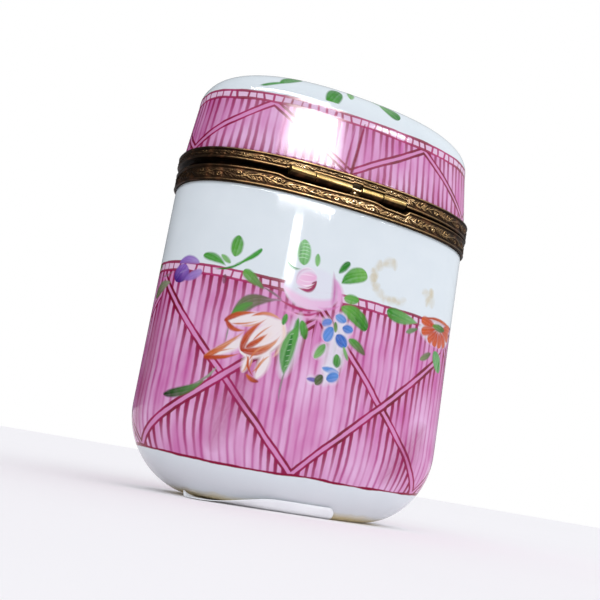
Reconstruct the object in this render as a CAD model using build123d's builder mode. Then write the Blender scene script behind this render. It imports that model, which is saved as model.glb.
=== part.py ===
"""Hinged porcelain trinket box: a tall oval body and lid in bronze mounts, with a barrel hinge and a snap clasp.

Frame: +Z up, origin at the centre of the base, +X along the wide side. The hinge is on the -Y side and the
clasp on the +Y side. Millimetres.
"""

import os
from math import atan2, cos, pi, radians, sin

from build123d import *

# ---------------------------------------------------------------- driving dimensions
HALF_WIDTH = 24.0  # plan half-axes of the body wall
HALF_DEPTH = 12.5
PLAN_POWER = 2.4  # the plan is a superellipse of this power
PLAN_POINTS = 32

BODY_TOP = 45.6  # cut edge of the body porcelain, inside its mount
BASE_ROUND_X = 11.9  # how far the base rounding runs in along X, along Y and up
BASE_ROUND_Y = 4.5
BASE_ROUND_Z = 11.9
BODY_WALL = 1.8

RIM_BOTTOM = 44.0  # body mount
RIM_TOP = 46.4
RIM_PROUD = 0.4
RIM_FLANGE = 0.5
BEAD_HEIGHT = 0.35  # raised edges of both mounts
BEAD_PROUD = 0.1

LID_RIM_TOP = 49.0  # lid mount, whose lower edge is cut slightly askew
LID_RIM_PROUD = 0.5
LID_JOINT_HEIGHT = 46.95
LID_JOINT_SKEW = 1.13  # degrees about Y, so that the joint gapes at the -X end
LID_FLANGE = 0.4
LID_FLANGE_REACH = -1.35
LID_PORCELAIN_BOTTOM = 48.0
LID_WALL = 1.4
LID_SHOULDER = 57.5  # where the straight lid wall turns into the dome
LID_DRAFT = 1.0
LID_TOP = 64.5
DOME_POWER = 2.6

REBATE = 0.35  # the porcelain is set in this far where a mount grips it
STRIP_INNER = -0.05  # inner face of a mount's strip, as an offset of the plan
SEAT_GAP = 0.1

COLLAR_OUTER = -1.75  # inner collar that guides the lid, as offsets of the plan
COLLAR_INNER = -2.15
COLLAR_TOP = 48.4

HINGE_X = -2.5  # middle of the hinge, a little off the centre
HINGE_Y = -12.3
HINGE_Z = 47.1
BARREL_R = 0.72
PIN_R = 0.30
BORE_R = 0.33
KNUCKLE_GAP = 0.08
OUTER_KNUCKLE = 4.0
LONG_KNUCKLE = 5.9
HINGE_WINDOW = 1.65
SHORT_KNUCKLE = 3.55
NOTCH_R = 0.9
NOTCH_END_GAP = 0.15
SCOOP_DEPTH = 0.35
BEARER_FRONT = -12.15
BEARER_BACK = -11.2
BEARER_TOP = 47.0
STOP_R = 0.28
STOP_Z = 46.45
STOP_FRONT = -12.85
STOP_INSET = 0.55

CLASP_PIVOT_Z = 48.2
TONGUE_WIDTH = 3.8
TONGUE_THICKNESS = 0.35
TONGUE_BOTTOM = 44.2
TONGUE_TOP = 48.8
TONGUE_OFF_STUD = 0.12
STUD_R = 0.6
STUD_Z = 45.3
STUD_PROUD = 0.45
STUD_TAIL_R = 0.3
RIVET_SPACING = 2.2
RIVET_R = 0.28
RIVET_HOLE_R = 0.35
RIVET_HEAD_R = 0.5
RIVET_HEAD = 0.3
RIVET_SLACK = 0.1
THUMB_WIDTH = 5.4
THUMB_HEIGHT = 3.6
THUMB_THICKNESS = 0.8

LABEL_LEFT = -17.0
LABEL_RIGHT = 4.5
LABEL_BACK = -1.5
LABEL_TOP = 1.7
LABEL_THICKNESS = 0.12
LABEL_CORNER_R = 1.2


# ---------------------------------------------------------------- shared shapes
def plan_points(half_x, half_y):
    """Points round a superellipse, evenly spread by the angle of the matching ellipse."""
    points = []
    for i in range(PLAN_POINTS):
        angle = 2 * pi * i / PLAN_POINTS
        direction = atan2(half_y * sin(angle), half_x * cos(angle))
        reach_x = abs(cos(direction) / half_x) ** PLAN_POWER
        reach_y = abs(sin(direction) / half_y) ** PLAN_POWER
        radius = (reach_x + reach_y) ** (-1 / PLAN_POWER)
        points.append((radius * cos(direction), radius * sin(direction)))
    return points


def plan_face(z, offset_x, offset_y=None):
    """The oval plan as a face at height z, grown by the offsets along X and Y."""
    if offset_y is None:
        offset_y = offset_x
    with BuildSketch(Plane.XY.offset(z)) as face:
        with BuildLine():
            Spline(*plan_points(HALF_WIDTH + offset_x, HALF_DEPTH + offset_y), periodic=True)
        make_face()
    return face.sketch


def oval_block(bottom, top, offset):
    """A straight oval block between two heights."""
    with BuildPart() as oval:
        add(plan_face(bottom, offset))
        extrude(amount=top - bottom)
    return oval.part


def oval_ring(bottom, top, outer, inner):
    """A straight oval ring between two offsets of the plan."""
    with BuildPart() as ring:
        add(oval_block(bottom, top, outer))
        add(oval_block(bottom, top, inner), mode=Mode.SUBTRACT)
    return ring.part


def ring_below(plane, bottom, top, outer, inner):
    """The part of an oval ring that lies below a plane."""
    with BuildPart() as ring:
        add(oval_ring(bottom, top, outer, inner))
        split(bisect_by=plane, keep=Keep.BOTTOM)
    return ring.part


def body_form(inset, top):
    """The body's outer form, set in all round by inset: rounded underneath and straight above."""
    with BuildPart() as form:
        for degrees in (90, 72, 54, 36, 18, 0):
            angle = radians(degrees)
            z = BASE_ROUND_Z + (inset - BASE_ROUND_Z) * sin(angle)
            shrink = 1 - cos(angle)
            add(plan_face(z, -inset - BASE_ROUND_X * shrink, -inset - BASE_ROUND_Y * shrink))
        loft()
        add(oval_block(BASE_ROUND_Z, top, -inset))
    return form.part


def dome_form(inset, top):
    """The lid's dome above its shoulder, a superellipse in side view as well as in plan."""
    half_x = HALF_WIDTH - LID_DRAFT - inset
    half_y = HALF_DEPTH - LID_DRAFT - inset
    with BuildPart() as dome:
        for degrees in (0, 22, 42, 58, 70, 79, 86):
            angle = radians(degrees)
            share = cos(angle) ** (2 / DOME_POWER)
            rise = sin(angle) ** (2 / DOME_POWER)
            z = LID_SHOULDER + (top - LID_SHOULDER) * rise
            add(plan_face(z, half_x * share - HALF_WIDTH, half_y * share - HALF_DEPTH))
        loft()
    return dome.part


def lid_form(inset, bottom, top):
    """The lid's outer form, set in by inset: a wall with a little draft under its dome."""
    with BuildPart() as form:
        add(plan_face(bottom, -inset))
        add(plan_face(LID_SHOULDER, -inset - LID_DRAFT))
        loft()
        add(dome_form(inset, top))
    return form.part


def rod_along_x(radius, start, end):
    """A solid round rod on the hinge axis."""
    with BuildPart() as rod:
        with BuildSketch(Plane.YZ.offset(start)):
            with Locations((HINGE_Y, HINGE_Z)):
                Circle(radius)
        extrude(amount=end - start)
    return rod.part


def knuckle(start, end, bore_radius):
    """One hinge barrel with its bore."""
    with BuildPart() as barrel:
        add(rod_along_x(BARREL_R, start, end))
        chamfer(barrel.edges().filter_by(GeomType.CIRCLE), length=0.08)
        add(rod_along_x(bore_radius, start - 1, end + 1), mode=Mode.SUBTRACT)
    return barrel.part


def block(x_range, y_range, z_range):
    """A plain block between two corners."""
    middle = ((x_range[0] + x_range[1]) / 2, (y_range[0] + y_range[1]) / 2)
    with BuildPart() as solid:
        with BuildSketch(Plane.XY.offset(z_range[0])):
            with Locations(middle):
                Rectangle(x_range[1] - x_range[0], y_range[1] - y_range[0])
        extrude(amount=z_range[1] - z_range[0])
    return solid.part


def rods_along_y(radius, centres, y_range):
    """Round rods along Y at the given (x, z) centres."""
    with BuildPart() as rods:
        with BuildSketch(Plane.XZ.offset(-y_range[1])):
            with Locations(*centres):
                Circle(radius)
        extrude(amount=y_range[1] - y_range[0])
    return rods.part


# ---------------------------------------------------------------- layout of the hinge and the clasp
hinge_length = 2 * OUTER_KNUCKLE + LONG_KNUCKLE + HINGE_WINDOW + SHORT_KNUCKLE
hinge_start = HINGE_X - hinge_length / 2
long_start = hinge_start + OUTER_KNUCKLE
window_start = long_start + LONG_KNUCKLE
short_start = window_start + HINGE_WINDOW
short_end = short_start + SHORT_KNUCKLE
hinge_end = short_end + OUTER_KNUCKLE

joint_plane = Plane((0, 0, LID_JOINT_HEIGHT)).rotated((0, LID_JOINT_SKEW, 0))
notch = rod_along_x(NOTCH_R, hinge_start - NOTCH_END_GAP, hinge_end + NOTCH_END_GAP)
body_side_notch = rod_along_x(NOTCH_R, long_start - NOTCH_END_GAP, short_end + NOTCH_END_GAP)
full_barrel = rod_along_x(BARREL_R, hinge_start - NOTCH_END_GAP, hinge_end + NOTCH_END_GAP)
bearer_space = block(
    (long_start - NOTCH_END_GAP, short_end + NOTCH_END_GAP),
    (-HALF_DEPTH, BEARER_BACK + NOTCH_END_GAP),
    (RIM_TOP - 1, BEARER_TOP + NOTCH_END_GAP),
)

lid_face = HALF_DEPTH + LID_RIM_PROUD
rim_face = HALF_DEPTH + RIM_PROUD
tongue_face = rim_face + STUD_PROUD + TONGUE_OFF_STUD
tongue_back = tongue_face + TONGUE_THICKNESS
rivet_centres = [(-RIVET_SPACING / 2, CLASP_PIVOT_Z), (RIVET_SPACING / 2, CLASP_PIVOT_Z)]
strip_y = (HALF_DEPTH + STRIP_INNER - SEAT_GAP, lid_face + SEAT_GAP)

# ---------------------------------------------------------------- porcelain body and its label
with BuildPart() as base_label:
    add(body_form(0, BASE_ROUND_Z + 1))
    add(body_form(LABEL_THICKNESS, BASE_ROUND_Z + 2), mode=Mode.SUBTRACT)
    with BuildSketch(Plane.XY.offset(-1)):
        with Locations(((LABEL_LEFT + LABEL_RIGHT) / 2, LABEL_BACK - HALF_DEPTH)):
            RectangleRounded(LABEL_RIGHT - LABEL_LEFT, 2 * HALF_DEPTH, LABEL_CORNER_R)
    extrude(amount=LABEL_TOP + 1, mode=Mode.INTERSECT)

with BuildPart() as porcelain_body:
    add(body_form(0, BODY_TOP))
    add(body_form(BODY_WALL, BODY_TOP + 1), mode=Mode.SUBTRACT)
    add(oval_ring(RIM_BOTTOM - SEAT_GAP, BODY_TOP + 1, 1, -REBATE), mode=Mode.SUBTRACT)
    add(base_label.part, mode=Mode.SUBTRACT)

# ---------------------------------------------------------------- body mount
with BuildPart() as body_rim:
    add(oval_ring(RIM_BOTTOM, RIM_TOP, RIM_PROUD - BEAD_PROUD, STRIP_INNER))
    add(oval_ring(RIM_BOTTOM, RIM_BOTTOM + BEAD_HEIGHT, RIM_PROUD, STRIP_INNER))
    add(oval_ring(RIM_TOP - BEAD_HEIGHT, RIM_TOP, RIM_PROUD, STRIP_INNER))
    add(oval_ring(RIM_TOP - RIM_FLANGE, RIM_TOP, 0, COLLAR_INNER))
    add(notch, mode=Mode.SUBTRACT)
    add(
        block(
            (hinge_start - NOTCH_END_GAP, hinge_end + NOTCH_END_GAP),
            (-HALF_DEPTH - 1, HINGE_Y + SCOOP_DEPTH),
            (RIM_TOP - SCOOP_DEPTH, RIM_TOP + 1),
        ),
        mode=Mode.SUBTRACT,
    )
    add(rods_along_y(STUD_TAIL_R, [(0, STUD_Z)], strip_y), mode=Mode.SUBTRACT)

with BuildPart() as body_collar:
    add(oval_ring(RIM_TOP, COLLAR_TOP, COLLAR_OUTER, COLLAR_INNER))

with BuildPart() as body_bedding:
    add(oval_ring(RIM_BOTTOM - SEAT_GAP, RIM_TOP - RIM_FLANGE, STRIP_INNER, -REBATE))
    add(oval_ring(BODY_TOP, RIM_TOP - RIM_FLANGE, STRIP_INNER, -BODY_WALL))

# ---------------------------------------------------------------- lid porcelain and its mount
with BuildPart() as porcelain_lid:
    add(lid_form(0, LID_PORCELAIN_BOTTOM, LID_TOP))
    add(lid_form(LID_WALL, LID_PORCELAIN_BOTTOM - 1, LID_TOP - LID_WALL), mode=Mode.SUBTRACT)
    add(oval_ring(LID_PORCELAIN_BOTTOM - 1, LID_RIM_TOP + SEAT_GAP, 1, -REBATE), mode=Mode.SUBTRACT)

strip_bottom = LID_JOINT_HEIGHT - 1
flange_top = joint_plane.offset(LID_FLANGE)
with BuildPart() as lid_rim:
    add(oval_ring(strip_bottom, LID_RIM_TOP, LID_RIM_PROUD - BEAD_PROUD, STRIP_INNER))
    add(oval_ring(LID_RIM_TOP - BEAD_HEIGHT, LID_RIM_TOP, LID_RIM_PROUD, STRIP_INNER))
    add(ring_below(joint_plane.offset(BEAD_HEIGHT), strip_bottom, LID_RIM_TOP, LID_RIM_PROUD, STRIP_INNER))
    add(ring_below(flange_top, strip_bottom, LID_RIM_TOP, 0, LID_FLANGE_REACH))
    split(bisect_by=joint_plane, keep=Keep.TOP)
    add(full_barrel, mode=Mode.SUBTRACT)
    add(body_side_notch, mode=Mode.SUBTRACT)
    add(bearer_space, mode=Mode.SUBTRACT)
    add(rods_along_y(RIVET_R, rivet_centres, strip_y), mode=Mode.SUBTRACT)

with BuildPart() as lid_bedding:
    add(oval_ring(strip_bottom, LID_PORCELAIN_BOTTOM, STRIP_INNER, LID_FLANGE_REACH))
    add(oval_ring(LID_PORCELAIN_BOTTOM, LID_RIM_TOP + SEAT_GAP, STRIP_INNER, -REBATE))
    split(bisect_by=flange_top, keep=Keep.TOP)
    add(notch, mode=Mode.SUBTRACT)

# ---------------------------------------------------------------- hinge
with BuildPart() as hinge_bearer:
    add(block((long_start, short_end), (BEARER_FRONT, BEARER_BACK), (RIM_TOP, BEARER_TOP)))
    add(rod_along_x(BARREL_R, long_start - 1, window_start), mode=Mode.SUBTRACT)
    add(rod_along_x(BORE_R, window_start, short_start), mode=Mode.SUBTRACT)
    add(rod_along_x(BARREL_R, short_start, short_end + 1), mode=Mode.SUBTRACT)

lid_knuckle_left = knuckle(hinge_start, long_start - KNUCKLE_GAP, PIN_R)
body_knuckle_long = knuckle(long_start, window_start, BORE_R)
body_knuckle_short = knuckle(short_start, short_end, BORE_R)
lid_knuckle_right = knuckle(short_end + KNUCKLE_GAP, hinge_end, PIN_R)
hinge_pin = rod_along_x(PIN_R, hinge_start, hinge_end)

with BuildPart() as hinge_stop:
    add(rods_along_y(STOP_R, [(window_start + STOP_INSET, STOP_Z)], (STOP_FRONT, BEARER_FRONT)))
    fillet(hinge_stop.faces().sort_by(Axis.Y)[0].edges(), radius=STOP_R * 0.7)

# ---------------------------------------------------------------- clasp
with BuildPart() as clasp_tongue:
    with BuildSketch(Plane.XZ.offset(-tongue_back)):
        with Locations((0, (TONGUE_BOTTOM + TONGUE_TOP) / 2)):
            RectangleRounded(TONGUE_WIDTH, TONGUE_TOP - TONGUE_BOTTOM, 0.6)
        with Locations(*rivet_centres):
            Circle(RIVET_HOLE_R, mode=Mode.SUBTRACT)
    extrude(amount=TONGUE_THICKNESS)

with BuildPart() as clasp_rivets:
    add(rods_along_y(RIVET_R, rivet_centres, (HALF_DEPTH + STRIP_INNER, tongue_back + RIVET_SLACK)))
    add(rods_along_y(RIVET_HEAD_R, rivet_centres, (lid_face, tongue_face - RIVET_SLACK)))
    head_start = tongue_back + RIVET_SLACK
    add(rods_along_y(RIVET_HEAD_R, rivet_centres, (head_start, head_start + RIVET_HEAD)))
    fillet(clasp_rivets.faces().group_by(Axis.Y)[-1].edges(), radius=RIVET_HEAD * 0.7)

with BuildPart() as clasp_thumbpiece:
    with BuildSketch(Plane.XZ.offset(-tongue_back - THUMB_THICKNESS)):
        with Locations((0, TONGUE_BOTTOM)):
            Ellipse(THUMB_WIDTH / 2, THUMB_HEIGHT / 2)
    extrude(amount=THUMB_THICKNESS)
    fillet(clasp_thumbpiece.faces().sort_by(Axis.Y)[-1].edges(), radius=THUMB_THICKNESS * 0.5)

with BuildPart() as catch_stud:
    add(rods_along_y(STUD_TAIL_R, [(0, STUD_Z)], (HALF_DEPTH + STRIP_INNER, rim_face)))
    add(rods_along_y(STUD_R, [(0, STUD_Z)], (rim_face - BEAD_PROUD, rim_face + STUD_PROUD)))
    fillet(catch_stud.faces().sort_by(Axis.Y)[-1].edges(), radius=STUD_PROUD * 0.7)

# ---------------------------------------------------------------- export
pieces = {
    "porcelain_body": porcelain_body.part,
    "base_label": base_label.part,
    "body_rim": body_rim.part,
    "body_collar": body_collar.part,
    "body_bedding": body_bedding.part,
    "porcelain_lid": porcelain_lid.part,
    "lid_rim": lid_rim.part,
    "lid_bedding": lid_bedding.part,
    "hinge_bearer": hinge_bearer.part,
    "hinge_knuckle_long": body_knuckle_long,
    "hinge_knuckle_short": body_knuckle_short,
    "hinge_knuckle_left": lid_knuckle_left,
    "hinge_knuckle_right": lid_knuckle_right,
    "hinge_pin": hinge_pin,
    "hinge_stop": hinge_stop.part,
    "clasp_tongue": clasp_tongue.part,
    "clasp_rivets": clasp_rivets.part,
    "clasp_thumbpiece": clasp_thumbpiece.part,
    "catch_stud": catch_stud.part,
}
os.makedirs("parts", exist_ok=True)
for name, piece in pieces.items():
    piece.label = name
    export_step(piece, f"parts/{name}.step")
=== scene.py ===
"""Looks of the hinged porcelain trinket box: painted porcelain, embossed mounts, hinge, clasp and label.

Lengths are millimetres until a mesh is made. Ornament on the walls is placed by surface coordinates: u is the
arc length round the oval, 0 in the middle of the hinge side and growing towards +X, and z is the height.
"""

from copy import copy
from math import cos, hypot, pi, radians, sin, tan

import bpy
import numpy as np
from mathutils import Matrix, Vector


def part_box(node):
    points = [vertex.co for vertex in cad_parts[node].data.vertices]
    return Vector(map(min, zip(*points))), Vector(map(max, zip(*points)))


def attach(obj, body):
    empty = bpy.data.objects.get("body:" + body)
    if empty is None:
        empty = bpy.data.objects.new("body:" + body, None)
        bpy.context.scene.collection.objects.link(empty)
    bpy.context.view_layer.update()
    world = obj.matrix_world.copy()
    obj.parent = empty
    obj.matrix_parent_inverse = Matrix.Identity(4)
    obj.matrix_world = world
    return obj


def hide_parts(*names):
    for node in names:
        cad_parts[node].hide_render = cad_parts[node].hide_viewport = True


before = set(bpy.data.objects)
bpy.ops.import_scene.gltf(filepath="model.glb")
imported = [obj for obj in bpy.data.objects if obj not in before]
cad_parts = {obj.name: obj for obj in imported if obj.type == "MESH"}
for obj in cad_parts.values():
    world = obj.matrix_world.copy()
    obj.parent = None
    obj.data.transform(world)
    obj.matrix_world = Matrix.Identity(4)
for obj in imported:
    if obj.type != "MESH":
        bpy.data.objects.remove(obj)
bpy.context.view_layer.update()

MM = 0.001

# ---------------------------------------------------------------- dimensions shared with the CAD part
HALF_WIDTH, HALF_DEPTH, PLAN_POWER = 24.0, 12.5, 2.4
BODY_TOP, BODY_WALL = 45.6, 1.8
BASE_ROUND_X, BASE_ROUND_Y, BASE_ROUND_Z = 11.9, 4.5, 11.9
RIM_BOTTOM, RIM_TOP = 44.0, 46.4
RIM_PROUD, BEAD_HEIGHT, BEAD_REACH = 0.4, 0.35, 0.14
RIM_FLANGE, LID_FLANGE, LID_FLANGE_REACH = 0.5, 0.4, -1.35
LID_RIM_TOP, LID_RIM_PROUD = 49.0, 0.5
LID_JOINT_HEIGHT, LID_JOINT_SLOPE = 46.95, tan(radians(1.13))
LID_PORCELAIN_BOTTOM, LID_WALL, LID_SHOULDER, LID_DRAFT = 48.0, 1.4, 57.5, 1.0
LID_TOP, DOME_POWER = 64.5, 2.6
REBATE, STRIP_INNER = 0.35, -0.05
COLLAR_OUTER, COLLAR_INNER, COLLAR_TOP = -1.75, -2.15, 48.4
HINGE_Y, HINGE_Z, BARREL_R, NOTCH_R = -12.3, 47.1, 0.72, 0.9
SCOOP_DEPTH, NOTCH_END_GAP, STOP_ROOM = 0.35, 0.15, 0.13


def box_mm(node):
    """The lowest and highest corner of a CAD node."""
    low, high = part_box(node)
    return low / MM, high / MM


def span_mm(node, axis):
    """The lowest and highest coordinate of a CAD node along one axis."""
    low, high = box_mm(node)
    return low[axis], high[axis]


HINGE_START, HINGE_END = span_mm("hinge_knuckle_left", 0)[0], span_mm("hinge_knuckle_right", 0)[1]
LONG_START, LONG_END = span_mm("hinge_knuckle_long", 0)
SHORT_START, SHORT_END = span_mm("hinge_knuckle_short", 0)


# ---------------------------------------------------------------- the oval and its surfaces
def oval(angle, half_x, half_y):
    """Points of the oval plan. Angle 0 is the middle of the -Y side, and it grows towards +X."""
    turn = angle - pi / 2
    direction = np.arctan2(half_y * np.sin(turn), half_x * np.cos(turn))
    across, along = np.abs(np.cos(direction) / half_x), np.abs(np.sin(direction) / half_y)
    radius = (across**PLAN_POWER + along**PLAN_POWER) ** (-1 / PLAN_POWER)
    return radius * np.cos(direction), radius * np.sin(direction)


def arc_table():
    """Angles round the oval and the arc length at each, measured on the body's wall."""
    angles = np.linspace(-pi, pi, 8001)
    x, y = oval(angles, HALF_WIDTH, HALF_DEPTH)
    arc = np.concatenate([[0], np.cumsum(np.hypot(np.diff(x), np.diff(y)))])
    return angles, arc - arc[-1] / 2


ANGLES, ARC = arc_table()
PERIMETER = 2 * ARC[-1]


def around(columns):
    """Evenly spaced arc lengths once round the box."""
    return np.linspace(-PERIMETER / 2, PERIMETER / 2, columns, endpoint=False)


def ring(u, z, inset_x, inset_y=None):
    """Points at the surface coordinates u on the plan drawn in by the insets, at height z."""
    inset_y = inset_x if inset_y is None else inset_y
    u, z, inset_x, inset_y = np.broadcast_arrays(u, z, inset_x, inset_y)
    x, y = oval(np.interp(u, ARC, ANGLES), HALF_WIDTH - inset_x, HALF_DEPTH - inset_y)
    return np.stack([x, y, z], -1)


def dome_point(u, z, inset=0.0):
    """A point of the lid's outer surface, or of its inner one with the wall's thickness as inset."""
    top = LID_TOP - inset
    rise = np.clip((z - LID_SHOULDER) / (top - LID_SHOULDER), 0, 1)
    share = (1 - rise**DOME_POWER) ** (1 / DOME_POWER)
    draft = LID_DRAFT * np.clip((z - LID_PORCELAIN_BOTTOM) / (LID_SHOULDER - LID_PORCELAIN_BOTTOM), 0, 1)
    half_x = (HALF_WIDTH - draft - inset) * share
    half_y = (HALF_DEPTH - draft - inset) * share
    return ring(u, z, HALF_WIDTH - half_x, HALF_DEPTH - half_y)


def crown_point(x, y):
    """The point of the lid's outer surface above a place in plan."""
    across = abs(x / (HALF_WIDTH - LID_DRAFT)) ** PLAN_POWER + abs(y / (HALF_DEPTH - LID_DRAFT)) ** PLAN_POWER
    share = across ** (1 / PLAN_POWER)
    rise = max(0.0, 1 - share**DOME_POWER) ** (1 / DOME_POWER)
    return np.array([x, y, LID_SHOULDER + (LID_TOP - LID_SHOULDER) * rise])


# ---------------------------------------------------------------- mesh helpers
def make_object(name, vertices, faces, smooth=True):
    """A mesh object from points in millimetres."""
    mesh = bpy.data.meshes.new(name)
    mesh.from_pydata((np.asarray(vertices, float) * MM).tolist(), [], [list(map(int, f)) for f in faces])
    mesh.validate()
    mesh.update()
    mesh.polygons.foreach_set("use_smooth", [smooth] * len(mesh.polygons))
    made = bpy.data.objects.new(name, mesh)
    bpy.context.scene.collection.objects.link(made)
    return made


def ring_faces(rows, columns, closed):
    """Quads between rows of rings, and from the last row to the first if the section is closed."""
    row = np.arange(rows if closed else rows - 1)[:, None]
    column = np.arange(columns)[None, :]
    after = (column + 1) % columns
    below, above = row * columns, ((row + 1) % rows) * columns
    quads = np.stack([below + column, below + after, above + after, above + column], -1)
    return quads.reshape(-1, 4)


def revolve(name, rings, closed=False):
    """An object from rings of points, shape (rows, columns, 3). Rows that run upwards face outward.
    An open stack of rings is capped at both ends by fans, whose faces take turns."""
    rows, columns = rings.shape[:2]
    faces = ring_faces(rows, columns, closed).tolist()
    points = rings.reshape(-1, 3)
    if not closed:
        first, last, top = len(points), len(points) + 1, (rows - 1) * columns
        points = np.concatenate([points, [rings[0].mean(0), rings[-1].mean(0)]])
        for c in range(columns):
            after = (c + 1) % columns
            faces += [[first, after, c], [last, top + c, top + after]]
    return make_object(name, points, faces)


def add_surface_uv(made, u, heights):
    """The UV map of a revolved object, in millimetres of arc length and height, with the caps' hubs at 0, 0.
    Returns the mean coordinates of each face."""
    data = made.data
    vertex = np.zeros(len(data.loops), np.int32)
    starts, totals = np.zeros(len(data.polygons), np.int32), np.zeros(len(data.polygons), np.int32)
    data.loops.foreach_get("vertex_index", vertex)
    data.polygons.foreach_get("loop_start", starts)
    data.polygons.foreach_get("loop_total", totals)
    row, column = np.divmod(vertex, len(u))
    on_ring = row < len(heights)
    corner_u = np.where(on_ring, u[column], 0.0)
    corner_z = np.where(on_ring, heights[np.minimum(row, len(heights) - 1)], 0.0)
    spread = np.maximum.reduceat(corner_u, starts) - np.minimum.reduceat(corner_u, starts)
    over_seam = np.repeat(spread > PERIMETER / 2, totals)
    corner_u = np.where(over_seam & (corner_u < 0), corner_u + PERIMETER, corner_u)
    layer = data.uv_layers.new(name="surface")
    layer.data.foreach_set("uv", np.stack([corner_u, corner_z], -1).astype(np.float32).ravel())
    return [np.add.reduceat(corner, starts) / totals for corner in (corner_u, corner_z)]


def finish_piece(made, body, slot, node, *materials):
    """Gives a piece its materials, lets it ride on its body and replace its CAD node. Its slot argument is
    not used.
    """
    for material in materials:
        made.data.materials.append(material)
    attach(made, body)
    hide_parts(node)


# ---------------------------------------------------------------- shader helpers
def linear(red, green, blue):
    """A colour from 8-bit sRGB values."""
    shares = [c / 255 for c in (red, green, blue)]
    return tuple(c / 12.92 if c <= 0.04045 else ((c + 0.055) / 1.055) ** 2.4 for c in shares) + (1.0,)


GLAZE_GLEAM = 0.012  # what the glaze mirrors of an evenly lit room


def enamel(red, green, blue):
    """A paint's colour from 8-bit sRGB values, less what the glaze over it mirrors."""
    return tuple(max(0.0, c - GLAZE_GLEAM) for c in linear(red, green, blue)[:3]) + (1.0,)


class Signal:
    """A number in a node tree. Each sign between signals or numbers adds one Math node."""

    def __init__(self, nodes, socket):
        self.nodes, self.socket = nodes, socket

    def __add__(self, other):
        return self.nodes.math("ADD", self, other)

    def __sub__(self, other):
        return self.nodes.math("SUBTRACT", self, other)

    def __rsub__(self, other):
        return self.nodes.math("SUBTRACT", other, self)

    def __mul__(self, other):
        return self.nodes.math("MULTIPLY", self, other)

    def __truediv__(self, other):
        return self.nodes.math("DIVIDE", self, other)

    def __mod__(self, other):
        return self.nodes.math("FLOORED_MODULO", self, other)

    def __pow__(self, other):
        return self.nodes.math("POWER", self, other)

    def __abs__(self):
        return self.nodes.math("ABSOLUTE", self)

    def scaled(self, gain, offset):
        """Gain times the signal, plus the offset."""
        return self.nodes.math("MULTIPLY_ADD", self, gain, offset)

    def clamped(self):
        """The same signal held between 0 and 1 by the node it comes from."""
        self.socket.node.use_clamp = True
        return self

    def ramp(self, low, high):
        """0 where the signal is low and 1 where it is high, straight between them."""
        gain = 1 / (high - low)
        return self.scaled(gain, -low * gain).clamped()


class Nodes:
    """A node tree whose nodes are added one after another."""

    def __init__(self, tree):
        self.tree = tree

    def feed(self, socket, value):
        """Links a socket's source, or sets its value."""
        source = value.socket if isinstance(value, Signal) else value
        if isinstance(source, bpy.types.NodeSocket):
            self.tree.links.new(source, socket)
        else:
            socket.default_value = source

    def feed_in_order(self, made, values):
        """The node with its inputs fed one after another."""
        for socket, value in zip(made.inputs, values):
            self.feed(socket, value)
        return made

    def node(self, kind, settings=None, **inputs):
        """A node with its own settings, and its inputs fed by name, with _ for a space."""
        made = self.tree.nodes.new(kind)
        for name, value in (settings or {}).items():
            setattr(made, name, value)
        for name, value in inputs.items():
            self.feed(made.inputs[name.replace("_", " ")], value)
        return made

    def use(self, group, **inputs):
        """The output sockets of a node group with its inputs fed by name."""
        return self.node("ShaderNodeGroup", {"node_tree": group}, **inputs).outputs

    def math(self, operation, *values):
        made = self.node("ShaderNodeMath", {"operation": operation})
        return Signal(self, self.feed_in_order(made, values).outputs[0])

    def vector_math(self, operation, *values):
        made = self.node("ShaderNodeVectorMath", {"operation": operation})
        return self.feed_in_order(made, values).outputs

    def split(self, vector):
        """The three coordinates of a vector."""
        return [Signal(self, part) for part in self.node("ShaderNodeSeparateXYZ", Vector=vector).outputs]

    def channels(self, colour):
        """The red, green and blue of a colour."""
        return [Signal(self, part) for part in self.node("ShaderNodeSeparateColor", Color=colour).outputs]

    def mix(self, share, below, above):
        made = self.node("ShaderNodeMix", {"data_type": "RGBA"})
        for socket, value in ((0, share), (6, below), (7, above)):
            self.feed(made.inputs[socket], value)
        return made.outputs[2]

    def noise(self, vector, scale, detail):
        made = self.node("ShaderNodeTexNoise", Vector=vector, Scale=scale, Detail=detail)
        return Signal(self, made.outputs["Fac"])

    def object_place(self):
        """The place on the piece in its own frame, in metres."""
        return self.node("ShaderNodeTexCoord").outputs["Object"]

    def bump(self, height, strength, distance):
        made = self.node("ShaderNodeBump", Height=height, Strength=strength, Distance=distance)
        return made.outputs["Normal"]


class Shader(Nodes):
    """A material on the Principled shader."""

    def __init__(self, name):
        self.material = bpy.data.materials.new(name)
        self.material.use_nodes = True
        super().__init__(self.material.node_tree)
        self.tree.nodes.clear()
        output = self.tree.nodes.new("ShaderNodeOutputMaterial")
        self.surface = self.tree.nodes.new("ShaderNodeBsdfPrincipled")
        self.tree.links.new(self.surface.outputs[0], output.inputs[0])

    def set(self, **values):
        """Sets the Principled shader's inputs by name, with _ for a space."""
        for name, value in values.items():
            self.feed(self.surface.inputs[name.replace("_", " ")], value)


class Group(Nodes):
    """A node group with named inputs and outputs."""

    def __init__(self, name, inputs, outputs):
        super().__init__(bpy.data.node_groups.new(name, "ShaderNodeTree"))
        for way, sockets in (("INPUT", inputs), ("OUTPUT", outputs)):
            for socket, kind in sockets.items():
                self.tree.interface.new_socket(socket, in_out=way, socket_type=f"NodeSocket{kind}")
        self.inputs = self.tree.nodes.new("NodeGroupInput").outputs
        self.outputs = self.tree.nodes.new("NodeGroupOutput").inputs

    def give(self, **values):
        for name, value in values.items():
            self.feed(self.outputs[name], value)
        return self.tree


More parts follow.
